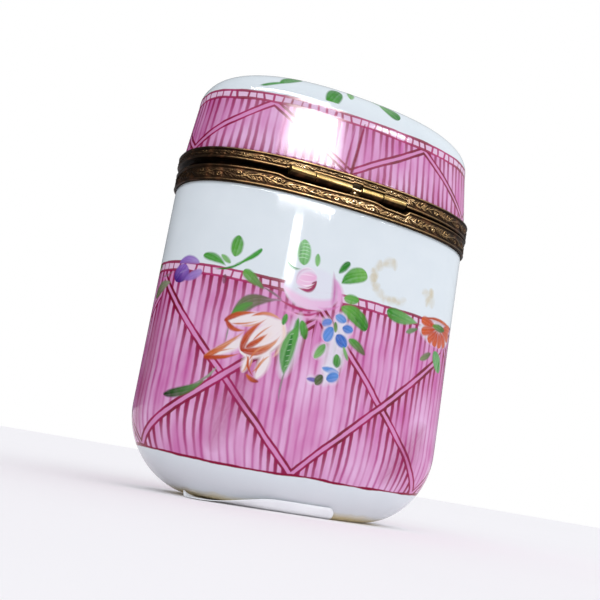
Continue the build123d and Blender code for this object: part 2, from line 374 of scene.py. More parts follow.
# ---------------------------------------------------------------- brush strokes
class Stroke:
    """One touch of the brush from start to end. bend bows it to its left, as a share of its length.
    blunt and point shape the two ends: 0.5 is round, 1 is pointed and 0.1 is square."""

    def __init__(self, start, end, width, tint, far_tint=None, bend=0.0, blunt=0.5, point=0.5, strength=0.95,
                 edge=None, halo=0.0):
        self.start, self.end, self.width, self.bend = start, end, width, bend
        self.tint, self.far_tint = tint, far_tint or tint
        self.blunt, self.point, self.strength, self.halo = blunt, point, strength, halo
        self.edge = min(0.3, 0.12 + width * 0.12) if edge is None else edge
        self.pool = 0.0 if min(tint) > PALE_PAINT else 0.3

    def moved(self, place):
        """The same stroke with its two ends moved by a function of a point."""
        made = copy(self)
        made.start, made.end = place(self.start), place(self.end)
        return made

    def reach(self):
        """Its box on the unrolled wall."""
        length = hypot(self.end[0] - self.start[0], self.end[1] - self.start[1])
        margin = self.width / 2 + abs(self.bend) * length + 2 * WOBBLE
        low = [min(a, b) - margin for a, b in zip(self.start, self.end)]
        high = [max(a, b) + margin for a, b in zip(self.start, self.end)]
        return low, high


WOBBLE = 0.24  # how far a painted line strays
GREEN, DEEP_GREEN, PALE_GREEN = (78, 162, 56), (36, 126, 30), (132, 192, 112)
OLIVE, DUSK = (104, 116, 76), (138, 124, 128)
BLUE, DEEP_BLUE = (92, 148, 228), (50, 104, 202)
VIOLET, DEEP_VIOLET, PALE_VIOLET = (146, 106, 196), (76, 44, 132), (176, 146, 212)
ORANGE, RUST, YELLOW, CRIMSON = (216, 104, 48), (186, 66, 24), (226, 190, 70), (142, 8, 60)
WHITE, BLOTCH_BEIGE = (226, 228, 236), (206, 192, 160)
PALE_PAINT = 150  # a paint with no channel below this does not darken where it pools
HALO = {"halo": 0.5}  # a ground that was wiped away around a flower before it was painted


def petal(centre, length, width, degrees, tint, far_tint=None, **more):
    """A rounded touch round its centre."""
    along = (cos(radians(degrees)) * length / 2, sin(radians(degrees)) * length / 2)
    start = (centre[0] - along[0], centre[1] - along[1])
    end = (centre[0] + along[0], centre[1] + along[1])
    return Stroke(start, end, width, tint, far_tint, **more)


def small_flower(centre, reach, length, width, first, tint, far_tint):
    """Five petals round a centre, the first of them at an angle in degrees."""
    made = []
    for degrees in range(first, first + 360, 72):
        turn = radians(degrees)
        middle = (centre[0] + reach * cos(turn), centre[1] + reach * sin(turn))
        made.append(petal(middle, length, width, degrees, tint, far_tint))
    return made


def pansy():
    return [
        Stroke((-25.6, 31.7), (-22.1, 31.9), 1.5, VIOLET, PALE_VIOLET, bend=0.12),
        Stroke((-25.3, 28.8), (-24.3, 31.5), 3.0, DEEP_VIOLET, VIOLET),
        Stroke((-24.0, 29.2), (-21.5, 30.8), 1.5, VIOLET, PALE_VIOLET, point=0.35),
        petal((-24.4, 30.5), 1.7, 0.5, 25, PALE_VIOLET, strength=0.5),
        Stroke((-31.2, 27.0), (-26.5, 28.9), 2.2, OLIVE, (150, 156, 130), bend=0.06, blunt=0.45, point=0.8),
        Stroke((-29.8, 29.9), (-26.4, 30.6), 0.5, DUSK, bend=-0.08, strength=0.6),
    ]


def sprig():
    return [
        petal((-17.2, 34.85), 3.1, 2.0, 90, (96, 172, 66), (84, 160, 62)),
        Stroke((-18.2, 31.8), (-21.8, 33.0), 1.45, GREEN, (76, 158, 56), bend=-0.08, blunt=0.8, point=0.4),
        Stroke((-17.6, 32.3), (-19.2, 33.3), 0.95, (124, 184, 104), PALE_GREEN),
        Stroke((-19.7, 31.2), (-15.6, 33.2), 0.5, DEEP_GREEN, (64, 160, 48), bend=-0.1),
        Stroke((-17.2, 32.2), (-13.7, 35.1), 0.85, (78, 168, 52), (52, 156, 44), bend=-0.06, blunt=0.8,
               point=0.3),
        Stroke((-18.1, 29.2), (-18.1, 30.7), 0.8, (122, 60, 80), (110, 66, 76), strength=0.7),
        Stroke((-15.7, 31.7), (-12.2, 29.5), 1.75, (98, 172, 70), (112, 132, 88), blunt=0.4, point=0.9),
        Stroke((-13.4, 30.1), (-9.6, 28.6), 0.5, (124, 112, 96), (150, 110, 130), bend=0.04, blunt=0.9),
    ]


def arching_leaf():
    return [
        Stroke((-16.2, 24.2), (-10.6, 28.3), 2.3, (104, 128, 80), (118, 104, 90), bend=0.2, blunt=0.7,
               point=0.8),
        Stroke((-16.3, 24.0), (-13.6, 27.4), 1.2, (84, 160, 58), (96, 150, 74), bend=0.14, blunt=0.7),
        Stroke((-12.5, 28.0), (-9.4, 28.5), 0.5, (140, 120, 116), (176, 130, 158), bend=0.05),
        Stroke((-16.3, 24.0), (-16.3, 21.2), 0.34, (122, 148, 112), strength=0.8),
    ]


def rose():
    lilac, blush, highlight_paint, crimson = (225, 226, 236), (238, 204, 228), (250, 228, 242), (180, 18, 88)
    # Thin near-white strokes over the rose's upper petals: a painted highlight.
    painted_highlights = [
        Stroke((-7.9, 33.4 - 0.6 * k), (-5.5, 33.6 - 0.6 * k), 0.3, highlight_paint, bend=0.2 - 0.16 * k, edge=0.2)
        for k in range(3)
    ]
    return [
        petal((-5.5, 31.2), 8.6, 6.8, 8, lilac, edge=0.8, strength=1.0),
        Stroke((-9.8, 30.7), (-1.4, 30.6), 2.3, blush, (230, 184, 220), bend=-0.21, blunt=0.4, point=0.4,
               edge=0.6),
        Stroke((-9.6, 27.3), (-2.8, 27.3), 1.3, (228, 160, 204), (232, 176, 214), bend=-0.03, edge=0.5,
               strength=0.8),
        petal((-6.6, 32.3), 3.3, 3.1, 30, (240, 196, 224), (234, 178, 214), edge=0.8),
        *painted_highlights,
        Stroke((-8.0, 31.4), (-6.0, 33.9), 0.5, (222, 140, 192), (226, 156, 202), bend=0.3, edge=0.3,
               strength=0.6),
        Stroke((-7.9, 31.0), (-5.1, 32.5), 1.1, (184, 60, 116), (156, 20, 74), bend=-0.28, blunt=0.9,
               point=0.45),
        Stroke((-7.3, 31.5), (-5.3, 32.2), 0.34, (250, 236, 244), bend=-0.16, strength=1.0),
        Stroke((-7.0, 31.1), (-5.6, 31.6), 0.26, (250, 226, 240), bend=-0.14, strength=1.0),
        Stroke((-5.8, 31.9), (-5.2, 32.4), 0.4, (150, 30, 84)),
        Stroke((-1.5, 28.7), (-2.3, 33.4), 1.7, (230, 176, 216), (224, 158, 208), bend=-0.14, edge=0.6),
        Stroke((-2.2, 29.2), (-2.8, 34.6), 1.3, (220, 144, 200), (204, 100, 170), bend=-0.06, point=0.9,
               edge=0.6),
        Stroke((-4.4, 28.8), (-1.0, 29.8), 0.7, (226, 156, 206), (204, 104, 172), bend=-0.12, edge=0.4),
        Stroke((-10.0, 28.6), (-3.3, 28.5), 0.6, crimson, (196, 60, 130), bend=-0.09, point=0.8),
        Stroke((-7.7, 27.3), (-3.6, 28.4), 0.55, crimson, (204, 76, 144), bend=-0.12, point=0.8),
    ]


def rose_leaves():
    pale = (222, 240, 222)
    # The thin white strokes across the big leaf above the rose are a painted reflection of light on its
    # raised enamel.
    mottle = [
        Stroke((-8.6 + 0.1 * k, 34.9 + 0.55 * k), (-6.9 + 0.06 * k, 35.2 + 0.5 * k), 0.2, pale, bend=0.1)
        for k in range(5)
    ]
    return [
        petal((-7.7, 36.0), 3.7, 2.3, 97, (112, 184, 102), (134, 200, 126)),
        petal((-8.3, 36.2), 2.4, 0.5, 95, (58, 140, 60), strength=0.7),
        *mottle,
        petal((-5.5, 35.4), 1.9, 1.1, 95, (142, 204, 122), (120, 186, 106)),
        Stroke((-10.1, 34.8), (-7.6, 33.6), 0.4, (48, 128, 60), bend=-0.2, blunt=0.9, point=0.7),
        Stroke((-9.9, 34.4), (-7.9, 33.5), 0.3, (110, 170, 110), bend=-0.24),
        Stroke((-1.9, 34.2), (-0.5, 36.3), 1.25, (44, 140, 34), DEEP_GREEN, point=0.35),
        Stroke((-1.3, 32.9), (2.5, 35.3), 2.6, (54, 148, 34), (112, 180, 76), bend=0.08, blunt=0.7,
               point=0.35),
        petal((0.7, 31.05), 2.5, 1.75, 4, (110, 182, 84), (94, 170, 72)),
        Stroke((-0.7, 29.7), (3.9, 27.3), 2.5, (104, 176, 70), (44, 132, 26), bend=0.08, blunt=0.45,
               point=0.35),
        petal((2.4, 28.1), 2.2, 0.5, -35, (40, 120, 30), strength=0.7),
    ]


def forget_me_not():
    return [
        Stroke((-1.6, 17.8), (-0.4, 29.0), 4.6, WHITE, edge=1.4, strength=0.8, bend=-0.05),
        petal((-0.5, 28.0), 1.9, 1.6, -15, (112, 160, 226), (92, 144, 218), **HALO),
        petal((-2.5, 26.9), 1.7, 1.5, 30, (118, 138, 214), (104, 146, 222), **HALO),
        petal((-1.95, 25.35), 2.4, 1.9, 70, (96, 148, 224), (84, 140, 220), **HALO),
        petal((0.85, 26.75), 1.75, 1.6, 0, (66, 118, 204), (92, 144, 220), **HALO),
        petal((0.2, 24.85), 2.3, 1.95, -40, (52, 104, 196), (64, 118, 206), **HALO),
        petal((0.0, 24.6), 1.1, 0.4, -40, (34, 76, 168), strength=0.6),
        petal((-1.05, 26.55), 1.6, 0.85, 102, (128, 164, 96), (88, 138, 70)),
        Stroke((-3.7, 26.7), (-3.0, 25.8), 0.5, CRIMSON),
        Stroke((1.3, 25.4), (4.3, 23.6), 1.55, GREEN, (104, 100, 74), bend=0.04, blunt=0.4),
        Stroke((-3.6, 21.6), (-2.2, 23.9), 1.4, (134, 190, 112), (96, 164, 78), **HALO),
        petal((-0.1, 21.9), 2.1, 1.55, 100, (54, 136, 44), (92, 162, 76), **HALO),
        Stroke((0.6, 24.2), (1.6, 22.2), 0.75, PALE_GREEN, (120, 170, 110)),
    ]


def buds():
    return [
        petal((-0.8, 20.35), 2.8, 1.15, -6, (104, 156, 226), (88, 140, 218), **HALO),
        petal((-0.3, 19.45), 2.1, 1.7, 30, (74, 128, 210), (100, 152, 224), **HALO),
        petal((-3.4, 18.55), 1.8, 0.85, 0, (130, 116, 196), (104, 92, 176), **HALO),
        petal((-2.35, 18.7), 1.8, 1.6, 60, (92, 110, 66), (72, 88, 52)),
    ]


def tulip():
    ivory, peach, orange, rust = (238, 226, 228), (238, 180, 146), (216, 104, 52), (184, 62, 22)
    wide = {"edge": 0.6, "strength": 1.0}
    return [
        Stroke((-16.8, 24.1), (-8.9, 25.2), 2.3, ivory, bend=0.08, blunt=0.4, **wide),
        Stroke((-12.9, 23.2), (-18.9, 19.0), 2.0, ivory, bend=0.06, **wide),
        Stroke((-14.1, 20.2), (-8.7, 25.6), 4.6, ivory, bend=-0.05, blunt=0.45, point=0.45, **wide),
        Stroke((-12.6, 21.0), (-13.4, 17.5), 1.7, ivory, **wide),
        Stroke((-10.3, 21.8), (-11.5, 17.0), 2.2, ivory, bend=0.06, **wide),
        Stroke((-9.3, 25.8), (-9.6, 20.4), 1.1, (240, 208, 192), (240, 196, 172), bend=0.2, edge=0.5),
        Stroke((-12.2, 22.0), (-9.7, 24.4), 1.6, (240, 206, 192), ivory, edge=0.7, strength=0.8),
        Stroke((-12.8, 26.1), (-17.0, 24.2), 0.95, orange, rust, bend=-0.1, blunt=0.8, point=0.35),
        Stroke((-9.0, 25.6), (-13.6, 25.5), 0.7, peach, orange, bend=-0.16, blunt=0.8, point=0.6),
        Stroke((-16.9, 24.5), (-13.6, 23.7), 1.0, rust, orange, bend=-0.22, blunt=0.4, point=1.0),
        Stroke((-16.0, 24.1), (-12.2, 25.3), 0.4, orange, peach, bend=-0.06, point=0.9),
        Stroke((-14.6, 24.0), (-12.4, 24.9), 0.4, peach, bend=-0.08),
        Stroke((-13.6, 24.0), (-18.9, 18.8), 1.1, (232, 160, 120), (206, 96, 40), bend=0.04, blunt=1.1,
               point=0.3),
        Stroke((-18.9, 18.8), (-13.8, 20.3), 0.9, rust, orange, bend=-0.06, blunt=0.3, point=0.9),
        Stroke((-18.2, 19.6), (-14.6, 20.8), 0.4, orange, peach, point=0.9),
        Stroke((-17.6, 20.1), (-14.4, 22.4), 0.3, peach, strength=0.7),
        Stroke((-14.0, 20.5), (-11.2, 25.7), 1.2, rust, orange, bend=0.13, blunt=0.35, point=1.0),
        Stroke((-14.0, 20.6), (-8.9, 23.9), 1.5, rust, (226, 132, 88), bend=-0.17, blunt=0.35, point=1.0),
        Stroke((-13.5, 21.1), (-10.7, 23.8), 1.05, rust, orange, bend=-0.03, blunt=0.5, point=1.0),
        Stroke((-12.7, 22.3), (-10.2, 25.0), 0.42, orange, peach, bend=0.06, point=0.9),
        Stroke((-11.4, 21.3), (-9.2, 23.0), 0.5, orange, peach, bend=-0.1),
        Stroke((-9.4, 22.4), (-12.8, 19.3), 0.5, peach, orange, bend=-0.14, blunt=1.0, point=0.6),
        Stroke((-13.2, 20.2), (-13.5, 17.5), 0.5, orange, peach, bend=0.18),
        Stroke((-12.8, 20.2), (-11.8, 17.4), 0.5, orange, rust, bend=-0.16),
        Stroke((-12.3, 20.0), (-12.5, 18.2), 0.4, peach, orange),
        Stroke((-9.9, 20.6), (-11.6, 17.8), 0.5, peach, orange, bend=-0.1),
        Stroke((-10.7, 20.4), (-12.1, 17.9), 0.4, peach, orange, bend=0.1),
        Stroke((-12.9, 17.5), (-10.9, 16.8), 0.9, orange, (158, 52, 34), bend=-0.1),
    ]


def long_leaf():
    speckle = [
        Stroke((-7.7, 19.6 + 0.75 * k), (-7.1, 19.9 + 0.75 * k), 0.16, (214, 236, 210), strength=0.9)
        for k in range(7)
    ]
    return [
        Stroke((-7.9, 17.6), (-6.6, 27.6), 3.6, WHITE, edge=1.2, strength=0.8),
        Stroke((-6.9, 26.7), (-7.0, 22.4), 1.1, (70, 152, 62), (90, 166, 70)),
        Stroke((-6.8, 25.4), (-7.6, 18.2), 2.3, (92, 168, 74), (104, 160, 94), bend=-0.06, blunt=0.7,
               point=0.9),
        Stroke((-7.4, 24.4), (-7.8, 19.4), 0.8, (40, 124, 44), (70, 140, 62), bend=0.03),
        *speckle,
        Stroke((-7.5, 18.9), (-7.6, 14.4), 0.5, (132, 140, 120), (170, 130, 160), bend=-0.04, strength=0.85),
        petal((-8.8, 26.0), 1.8, 1.05, 80, (66, 150, 60), GREEN),
        Stroke((-5.3, 23.9), (-6.4, 26.4), 1.55, (60, 140, 44), (84, 166, 64)),
        petal((-5.4, 24.3), 0.9, 0.4, 80, (84, 60, 40), strength=0.6),
    ]


def low_leaf():
    return [
        Stroke((-23.7, 13.0), (-18.0, 15.9), 1.6, (34, 66, 24), (104, 152, 86), bend=-0.07, blunt=0.45,
               point=0.9),
        Stroke((-19.6, 15.1), (-16.8, 17.9), 0.5, (130, 148, 120), (176, 178, 164), bend=-0.08),
    ]


def right_leaves():
    return [
        Stroke((6.8, 30.8), (13.2, 30.4), 2.3, (52, 140, 36), (130, 186, 116), bend=-0.03, blunt=0.45,
               point=1.0),
        Stroke((7.3, 31.1), (11.6, 30.8), 0.8, (112, 180, 92), strength=0.5),
        Stroke((10.8, 28.5), (13.4, 29.7), 1.0, (126, 156, 112), (100, 130, 84), point=0.9),
        Stroke((16.9, 26.7), (14.4, 25.1), 1.3, OLIVE, (132, 146, 100)),
        Stroke((17.6, 27.1), (20.3, 24.2), 2.5, (96, 168, 96), (120, 184, 116), bend=0.04),
        Stroke((19.9, 26.2), (20.1, 24.0), 0.6, DEEP_GREEN, bend=-0.1, strength=0.8),
    ]


def daisy():
    petals = [petal((18.0, 29.9), 9.8, 4.6, 0, WHITE, strength=0.8, edge=0.9)]
    lengths = {172: 4.6, 196: 4.4, 222: 3.4, 252: 2.9, 290: 2.9, 322: 3.6, 350: 4.4, 10: 4.4}
    for degrees, length in lengths.items():
        tip = (18.2 + length * cos(radians(degrees)), 30.6 + length * sin(radians(degrees)))
        petals.append(Stroke((18.2, 30.7), tip, 1.75, (192, 56, 18), (214, 92, 40), blunt=1.2, point=0.35))
    petals.append(Stroke((14.2, 31.6), (22.2, 31.6), 0.7, RUST, ORANGE, bend=0.04))
    petals.append(petal((18.3, 30.8), 3.8, 1.35, 0, (96, 150, 48), (60, 110, 36)))
    petals.append(petal((18.3, 30.4), 2.6, 0.5, 0, OLIVE, strength=0.7))
    return petals


# Faint beige blotches on the front of the wall.
def beige_blotches():
    """Brownish blotches in an open ring and in a cluster, seeded so that they stay the same."""
    random = np.random.default_rng(8)
    blotches = []
    for k in range(15):
        turn = radians(-150 + 15 * k)
        reach = 1 + 0.12 * (random.random() - 0.5)
        blotches.append((7.2 - 3.5 * reach * cos(turn + 1.1), 35.2 - 2.8 * reach * sin(turn + 1.1)))
    blotches += [(13.6, 35.4), (14.6, 35.1), (15.3, 34.4), (14.4, 34.2), (15.0, 35.6)]
    made = []
    for u, z in blotches:
        size, stretch, lean, strength = random.random(4)
        made.append(petal((u, z), 1.4 + 1.4 * size, 1.2 + 0.8 * stretch, 180 * lean, BLOTCH_BEIGE, edge=0.6,
                          strength=0.2 + 0.4 * strength))
    return made


def deep_washes():
    """Where the pink of the band ran deeper, and at the -X end painted shade as well."""
    return [
        Stroke((-16.5, 6.5), (-12.0, 20.5), 6.5, (168, 20, 104), edge=2.6, strength=0.46),
        Stroke((11.0, 6.0), (18.5, 16.0), 7.0, (168, 20, 104), edge=2.6, strength=0.42),
        # Partly painted shade: the darkest wash, on the -X end.
        Stroke((-29.5, 6.0), (-28.0, 28.0), 7.0, (146, 20, 70), edge=2.6, strength=0.46),
    ]


def garland():
    """All the flowers of one side, from the lowest layer up."""
    groups = (low_leaf, sprig, pansy, arching_leaf, rose, tulip, long_leaf, rose_leaves, forget_me_not, buds,
              right_leaves, daisy)
    return [stroke for group in groups for stroke in group()]


def side_posy(u, z):
    """A small blue flower with two leaves."""
    return [
        Stroke((u - 0.6, z - 1), (u - 4.2, z + 1.2), 1.4, GREEN, PALE_GREEN, bend=-0.1, blunt=0.8),
        Stroke((u + 0.6, z - 1), (u + 4.4, z + 0.8), 1.4, DEEP_GREEN, GREEN, bend=0.1, blunt=0.8),
        Stroke((u, z - 1), (u - 1.2, z - 4.6), 0.9, GREEN, OLIVE, bend=0.06),
        *small_flower((u, z), 1.15, 1.7, 1.5, 90, DEEP_BLUE, BLUE),
        petal((u, z), 0.9, 0.9, 0, YELLOW, ORANGE),
    ]


# ---------------------------------------------------------------- painted porcelain
class Painted(Group):
    """A group that lays washes and lines one over the other on white porcelain."""

    def __init__(self, name):
        outputs = {"Colour": "Color", "Place": "Vector", "Grain": "Float"}
        super().__init__(name, {"Surface": "Vector"}, outputs)
        self.place = self.object_place()
        self.grain = self.noise(self.place, 1500.0, 2.0)
        self.slow = self.noise(self.place, 240.0, 1.0)
        speckle = self.noise(self.place, 260.0, 3.0)
        self.colour = self.mix(speckle, linear(219, 227, 232), linear(228, 234, 238))
        self.vector = self.stray(self.inputs["Surface"])
        self.u, self.z, _ = self.split(self.vector)

    def lay(self, share, colour):
        """Paints a colour over what is there."""
        self.colour = self.mix(share, self.colour, colour)

    def stray(self, vector):
        """Surface coordinates moved a little by noise, as a hand strays."""
        for scale, reach in ((170.0, 2 * WOBBLE), (1100.0, 0.1)):
            field = self.node("ShaderNodeTexNoise", Vector=self.place, Scale=scale, Detail=1.0)
            centred = self.vector_math("SUBTRACT", field.outputs["Color"], (0.5, 0.5, 0.5))[0]
            vector = self.vector_math("MULTIPLY_ADD", centred, (reach, reach, 0.0), vector)[0]
        return vector

    def done(self):
        return self.give(Colour=self.colour, Place=self.vector, Grain=self.grain)


def make_brush():
    """The node group of one brush stroke along its own X axis from 0 to 1, laid over the colour below.
    Around it the ground may be wiped to a pale halo. Its paint is streaky and a little darker at its edge."""
    names = ("Below Place Grain Along Across Before Beside Bend Blunt Point Width Gain Strength Near Far "
             "Hairs Pool Halo Reach").split()
    kinds = dict.fromkeys(names, "Float")
    kinds.update(dict.fromkeys(("Place", "Along", "Across"), "Vector"))
    kinds.update(dict.fromkeys(("Below", "Near", "Far"), "Color"))
    g = Group("brush", kinds, {"Colour": "Color"})
    given = {name: Signal(g, g.inputs[name]) for name in names}

    def measured(axis, offset):
        dot = g.vector_math("DOT_PRODUCT", given["Place"], given[axis])["Value"]
        return Signal(g, dot) - given[offset]

    along, beside = measured("Along", "Before"), measured("Across", "Beside")
    left = 1.0 - along
    across = (along * left).scaled(given["Bend"], beside)
    ends = along ** given["Blunt"] * left ** given["Point"]
    inside = (ends * given["Width"] - abs(across)) * given["Gain"]
    near_it = ((inside + given["Reach"]) * 0.5).clamped()
    halo = near_it * g.math("GREATER_THAN", ends, 0.0) * given["Halo"]
    below = g.mix(halo, given["Below"], linear(226, 222, 233))
    hair = along + across * given["Hairs"]
    hairs = g.node("ShaderNodeTexNoise", {"noise_dimensions": "1D"}, W=hair, Scale=1.0)
    streak = Signal(g, hairs.outputs["Fac"])
    cover = given["Grain"].scaled(0.2, streak.scaled(0.3, given["Strength"]))
    share = ((inside * 1.0).clamped() * cover).clamped()
    tint = g.mix(along.ramp(0.1, 0.9), given["Near"], given["Far"])
    rim = 1.0 - inside.ramp(0.8, 2.6)
    deep = g.math("MAXIMUM", rim * 0.6, streak.ramp(0.5, 0.75))
    shaded = g.mix(deep * given["Pool"], tint, linear(30, 40, 40))
    return g.give(Colour=g.mix(share, below, shaded))


BRUSH = make_brush()

# The paints of the ground, from the washes up to the inks, with the painted shade of the foot.
WASH_DEEP, WASH_PALE = linear(200, 90, 164), linear(229, 180, 219)
STRIPES, STRIPE_PINK, STRIPE_INK = 100, linear(178, 60, 136), linear(140, 0, 62)
GAP_PINK, LINE_BRIGHT, LINE_DARK = linear(214, 138, 190), linear(160, 0, 82), linear(116, 0, 34)
LADDER_PINK, LADDER_BRIGHT, LADDER_DARK = linear(228, 176, 214), linear(176, 16, 100), linear(134, 0, 52)
FOOT_PAINTED_SHADE, BOTTOM_INK = linear(196, 190, 197), linear(136, 0, 52)


class Glazed(Shader):
    """Porcelain on which strokes are laid over a painted ground, under a clear glaze."""

    def __init__(self, name, ground):
        super().__init__(name)
        unrolled = self.node("ShaderNodeUVMap", {"uv_map": "surface"}).outputs[0]
        self.colour, self.painted, self.grain = self.use(ground, Surface=unrolled)
        self.place = self.object_place()

    def brush(self, place, stroke, start, along, across, length):
        """Lays one stroke from its start, its two axes divided by its length in the units of the place, and
        its length in millimetres."""
        widest = stroke.blunt / (stroke.blunt + stroke.point)
        peak = widest**stroke.blunt * (1 - widest) ** stroke.point
        self.colour = self.use(
            BRUSH, Below=self.colour, Place=place, Grain=self.grain, Along=along, Across=across,
            Before=along.dot(start), Beside=across.dot(start), Bend=-4 * stroke.bend, Blunt=stroke.blunt,
            Point=stroke.point, Width=stroke.width / 2 / length / peak, Gain=length / stroke.edge,
            Strength=stroke.strength - 0.25, Hairs=2.6 * length, Near=enamel(*stroke.tint),
            Far=enamel(*stroke.far_tint), Pool=stroke.pool, Halo=stroke.halo, Reach=0.45 / stroke.edge,
        )[0]

    def brush_on_wall(self, stroke):
        """Lays a stroke given by surface coordinates."""
        start, end = Vector((*stroke.start, 0.0)), Vector((*stroke.end, 0.0))
        along = end - start
        length = along.length
        across = Vector((-along.y, along.x, 0.0))
        self.brush(self.painted, stroke, start, along / length**2, across / length**2, length)

    def brush_in_space(self, stroke, start, end, normal):
        """Lays a stroke between two points of a curved surface, flat on the plane between them."""
        along = Vector(end - start)
        length = along.length
        across = Vector(normal).cross(along).normalized() * length
        scale = 1 / (length**2 * MM)
        self.brush(self.place, stroke, Vector(start) * MM, along * scale, across * scale, length)

    def glaze(self):
        """The clear glaze over the painting, a little softer over the enamels."""
        green = self.channels(self.colour)[1]
        waves = self.bump(self.noise(self.place, 90.0, 1.0), 0.05, 0.0006)
        self.set(Base_Color=self.colour, IOR=1.3, Roughness=green.scaled(-0.125, 0.16), Normal=waves)
        return self.material


EDGE_SOFT = 0.1  # the width over which a painted edge fades, in millimetres


def zone_between(z, low, high):
    """1 between two heights."""
    return ((z - low) * (1 / EDGE_SOFT)).clamped() * ((high - z) * (1 / EDGE_SOFT)).clamped()


def line_mask(distance, half_width, soft=EDGE_SOFT):
    """1 within half_width of a line, given the distance from it."""
    return ((half_width - abs(distance)) * (1 / soft)).clamped()


def stripe_parts(p, count, seed):
    """The distance from the nearest of count stripes round the box, and two random numbers for it."""
    pitch = PERIMETER / count
    cell = p.u * (1 / pitch)
    index = p.math("FLOOR", cell)
    white = p.node("ShaderNodeTexWhiteNoise", {"noise_dimensions": "1D"}, W=index % float(count) + seed)
    first, second, third = p.channels(white.outputs["Color"])
    return (cell - index - third.scaled(0.3, 0.35)) * pitch, first, second


def lay_stripes(p, depth, zone, strength=1.0):
    """Vertical stripes, dark and broad where depth is 0 and fading along their length."""
    away, first, second = stripe_parts(p, STRIPES, 3.7)
    head = (1.0 - depth / first.scaled(7.5, 2.6)).clamped()
    uneven = (p.slow.scaled(0.8, second * 0.3) * 1.05).clamped()
    p.lay(line_mask(away, second.scaled(0.1, 0.27), 0.3) * zone * uneven, STRIPE_PINK)
    core = line_mask(away, head.scaled(0.17, 0.2), 0.15) * zone
    p.lay(core * head * (0.97 * strength), STRIPE_INK)


def lay_wash(p, zone):
    """The uneven pink wash of the painted band."""
    streak = p.node("ShaderNodeCombineXYZ", X=p.u * 0.55, Y=p.z * 0.1).outputs[0]
    pools = p.noise(streak, 1.0, 2.0) * 0.5 + p.noise(p.place, 110.0, 2.0) * 0.6
    p.lay(zone * 0.98, p.mix(pools.ramp(0.36, 0.70), WASH_DEEP, WASH_PALE))


def lay_double_line(p, distance, zone, half_gap=0.42):
    """Two crimson lines with a paler strip between them."""
    p.lay(line_mask(distance, half_gap, 0.12) * zone, GAP_PINK)
    mask = line_mask(abs(distance) - half_gap, p.slow.scaled(0.22, 0.11)) * zone
    p.lay(mask * 0.97, p.mix(p.slow.ramp(0.35, 0.65), LINE_BRIGHT, LINE_DARK))


def lay_ladder(p, low, high, count):
    """Two thin lines with rungs between them."""
    zone = zone_between(p.z, low, high)
    p.lay(zone * 0.75, LADDER_PINK)
    away, first, second = stripe_parts(p, count, 41.3)
    lean = (p.z - low) * first.scaled(0.5, -0.2)
    ink = p.mix(p.slow.ramp(0.3, 0.7), LADDER_BRIGHT, LADDER_DARK)
    p.lay(line_mask(away + lean, second.scaled(0.14, 0.15), 0.12) * zone * 0.92, ink)
    pressure = p.slow.scaled(0.24, 0.12)
    for height in (low, high):
        p.lay(line_mask(p.z - height, pressure) * 0.94, ink)


TRELLIS_LOW, TRELLIS_HIGH, LADDER_HEIGHT = 5.2, 30.15, 1.2
TRELLIS_CELLS, TRELLIS_START = 5, -28.5
FALL_HEIGHT, RISE_HEIGHT, RISE_SAG = 24.0, 23.3, 1.9
LINE_TILT = 0.72  # the cosine of the double lines' slope
STRIPE_GAP = 0.75  # how far below a double line the stripes start


def cell_share(u):
    """How far along its cell of the trellis a place is, from 0 to 1."""
    cell = PERIMETER / TRELLIS_CELLS
    return (u % cell) * (1 / cell)


def body_ground():
    """The trellis band of the body, its ladder border and its bottom line."""
    p = Painted("body_ground")
    swing = p.math("COSINE", p.u * (4 * pi / PERIMETER))
    p.z = (swing.scaled(-0.5, 0.5) ** 4.0).scaled(-0.7, p.z)
    zone = zone_between(p.z, TRELLIS_LOW, TRELLIS_HIGH)
    # Painted shade: the porcelain greys towards the foot.
    p.lay(p.z.ramp(5.5, 2.0) * 0.45, FOOT_PAINTED_SHADE)
    lay_wash(p, zone)

    share = cell_share(p.u - TRELLIS_START)
    sag = share * share * -RISE_SAG
    fall_off = p.z - share.scaled(-FALL_HEIGHT, TRELLIS_LOW + FALL_HEIGHT)
    rise_off = p.z - share.scaled(RISE_HEIGHT, sag + TRELLIS_LOW)

    depth = TRELLIS_HIGH - p.z
    for off in (fall_off, rise_off):
        under = off * -1.0 - STRIPE_GAP
        above_line = p.math("LESS_THAN", under, 0.0) * 100.0
        depth = p.math("MINIMUM", depth, under + above_line)
    lay_stripes(p, depth, zone)
    for off in (fall_off, rise_off):
        lay_double_line(p, off * LINE_TILT, zone)
    lay_ladder(p, TRELLIS_HIGH, TRELLIS_HIGH + LADDER_HEIGHT, 88)
    p.lay(line_mask(p.z - TRELLIS_LOW, p.slow.scaled(0.34, 0.05), 0.12), BOTTOM_INK)
    return p.done()


LID_BAND_LOW, LID_BAND_HIGH = 49.0, 57.3
LID_ZIG_LOW, LID_ZIG_HIGH, LID_APEX = 49.5, 57.2, -15.0


def lid_ground():
    """The lid's band: a zigzag of double lines over the wash, with its ladder border."""
    p = Painted("lid_ground")
    zone = zone_between(p.z, LID_BAND_LOW - 1, LID_BAND_HIGH)
    lay_wash(p, zone)
    swing = p.math("SINE", (p.u + 3.0) * (4 * pi / PERIMETER))
    fold = abs(cell_share(p.u - LID_APEX - swing).scaled(2.0, -1.0))
    off = p.z - fold.scaled(LID_ZIG_HIGH - LID_ZIG_LOW, LID_ZIG_LOW)
    under = p.math("LESS_THAN", off, 0.0)
    depth = (1.0 - under) * (LID_BAND_HIGH - p.z) + under * (p.z - LID_BAND_LOW)
    lay_stripes(p, depth, zone, 0.8)
    lay_double_line(p, off * 0.83, zone, 0.4)
    lay_ladder(p, LID_BAND_HIGH, LID_BAND_HIGH + 1.15, 86)
    return p.done()


def painting(name, ground, strokes):
    """A porcelain material with a painted ground and the strokes that fall on it."""
    p = Glazed(name, ground)
    for stroke in strokes:
        p.brush_on_wall(stroke)
    return p.glaze()


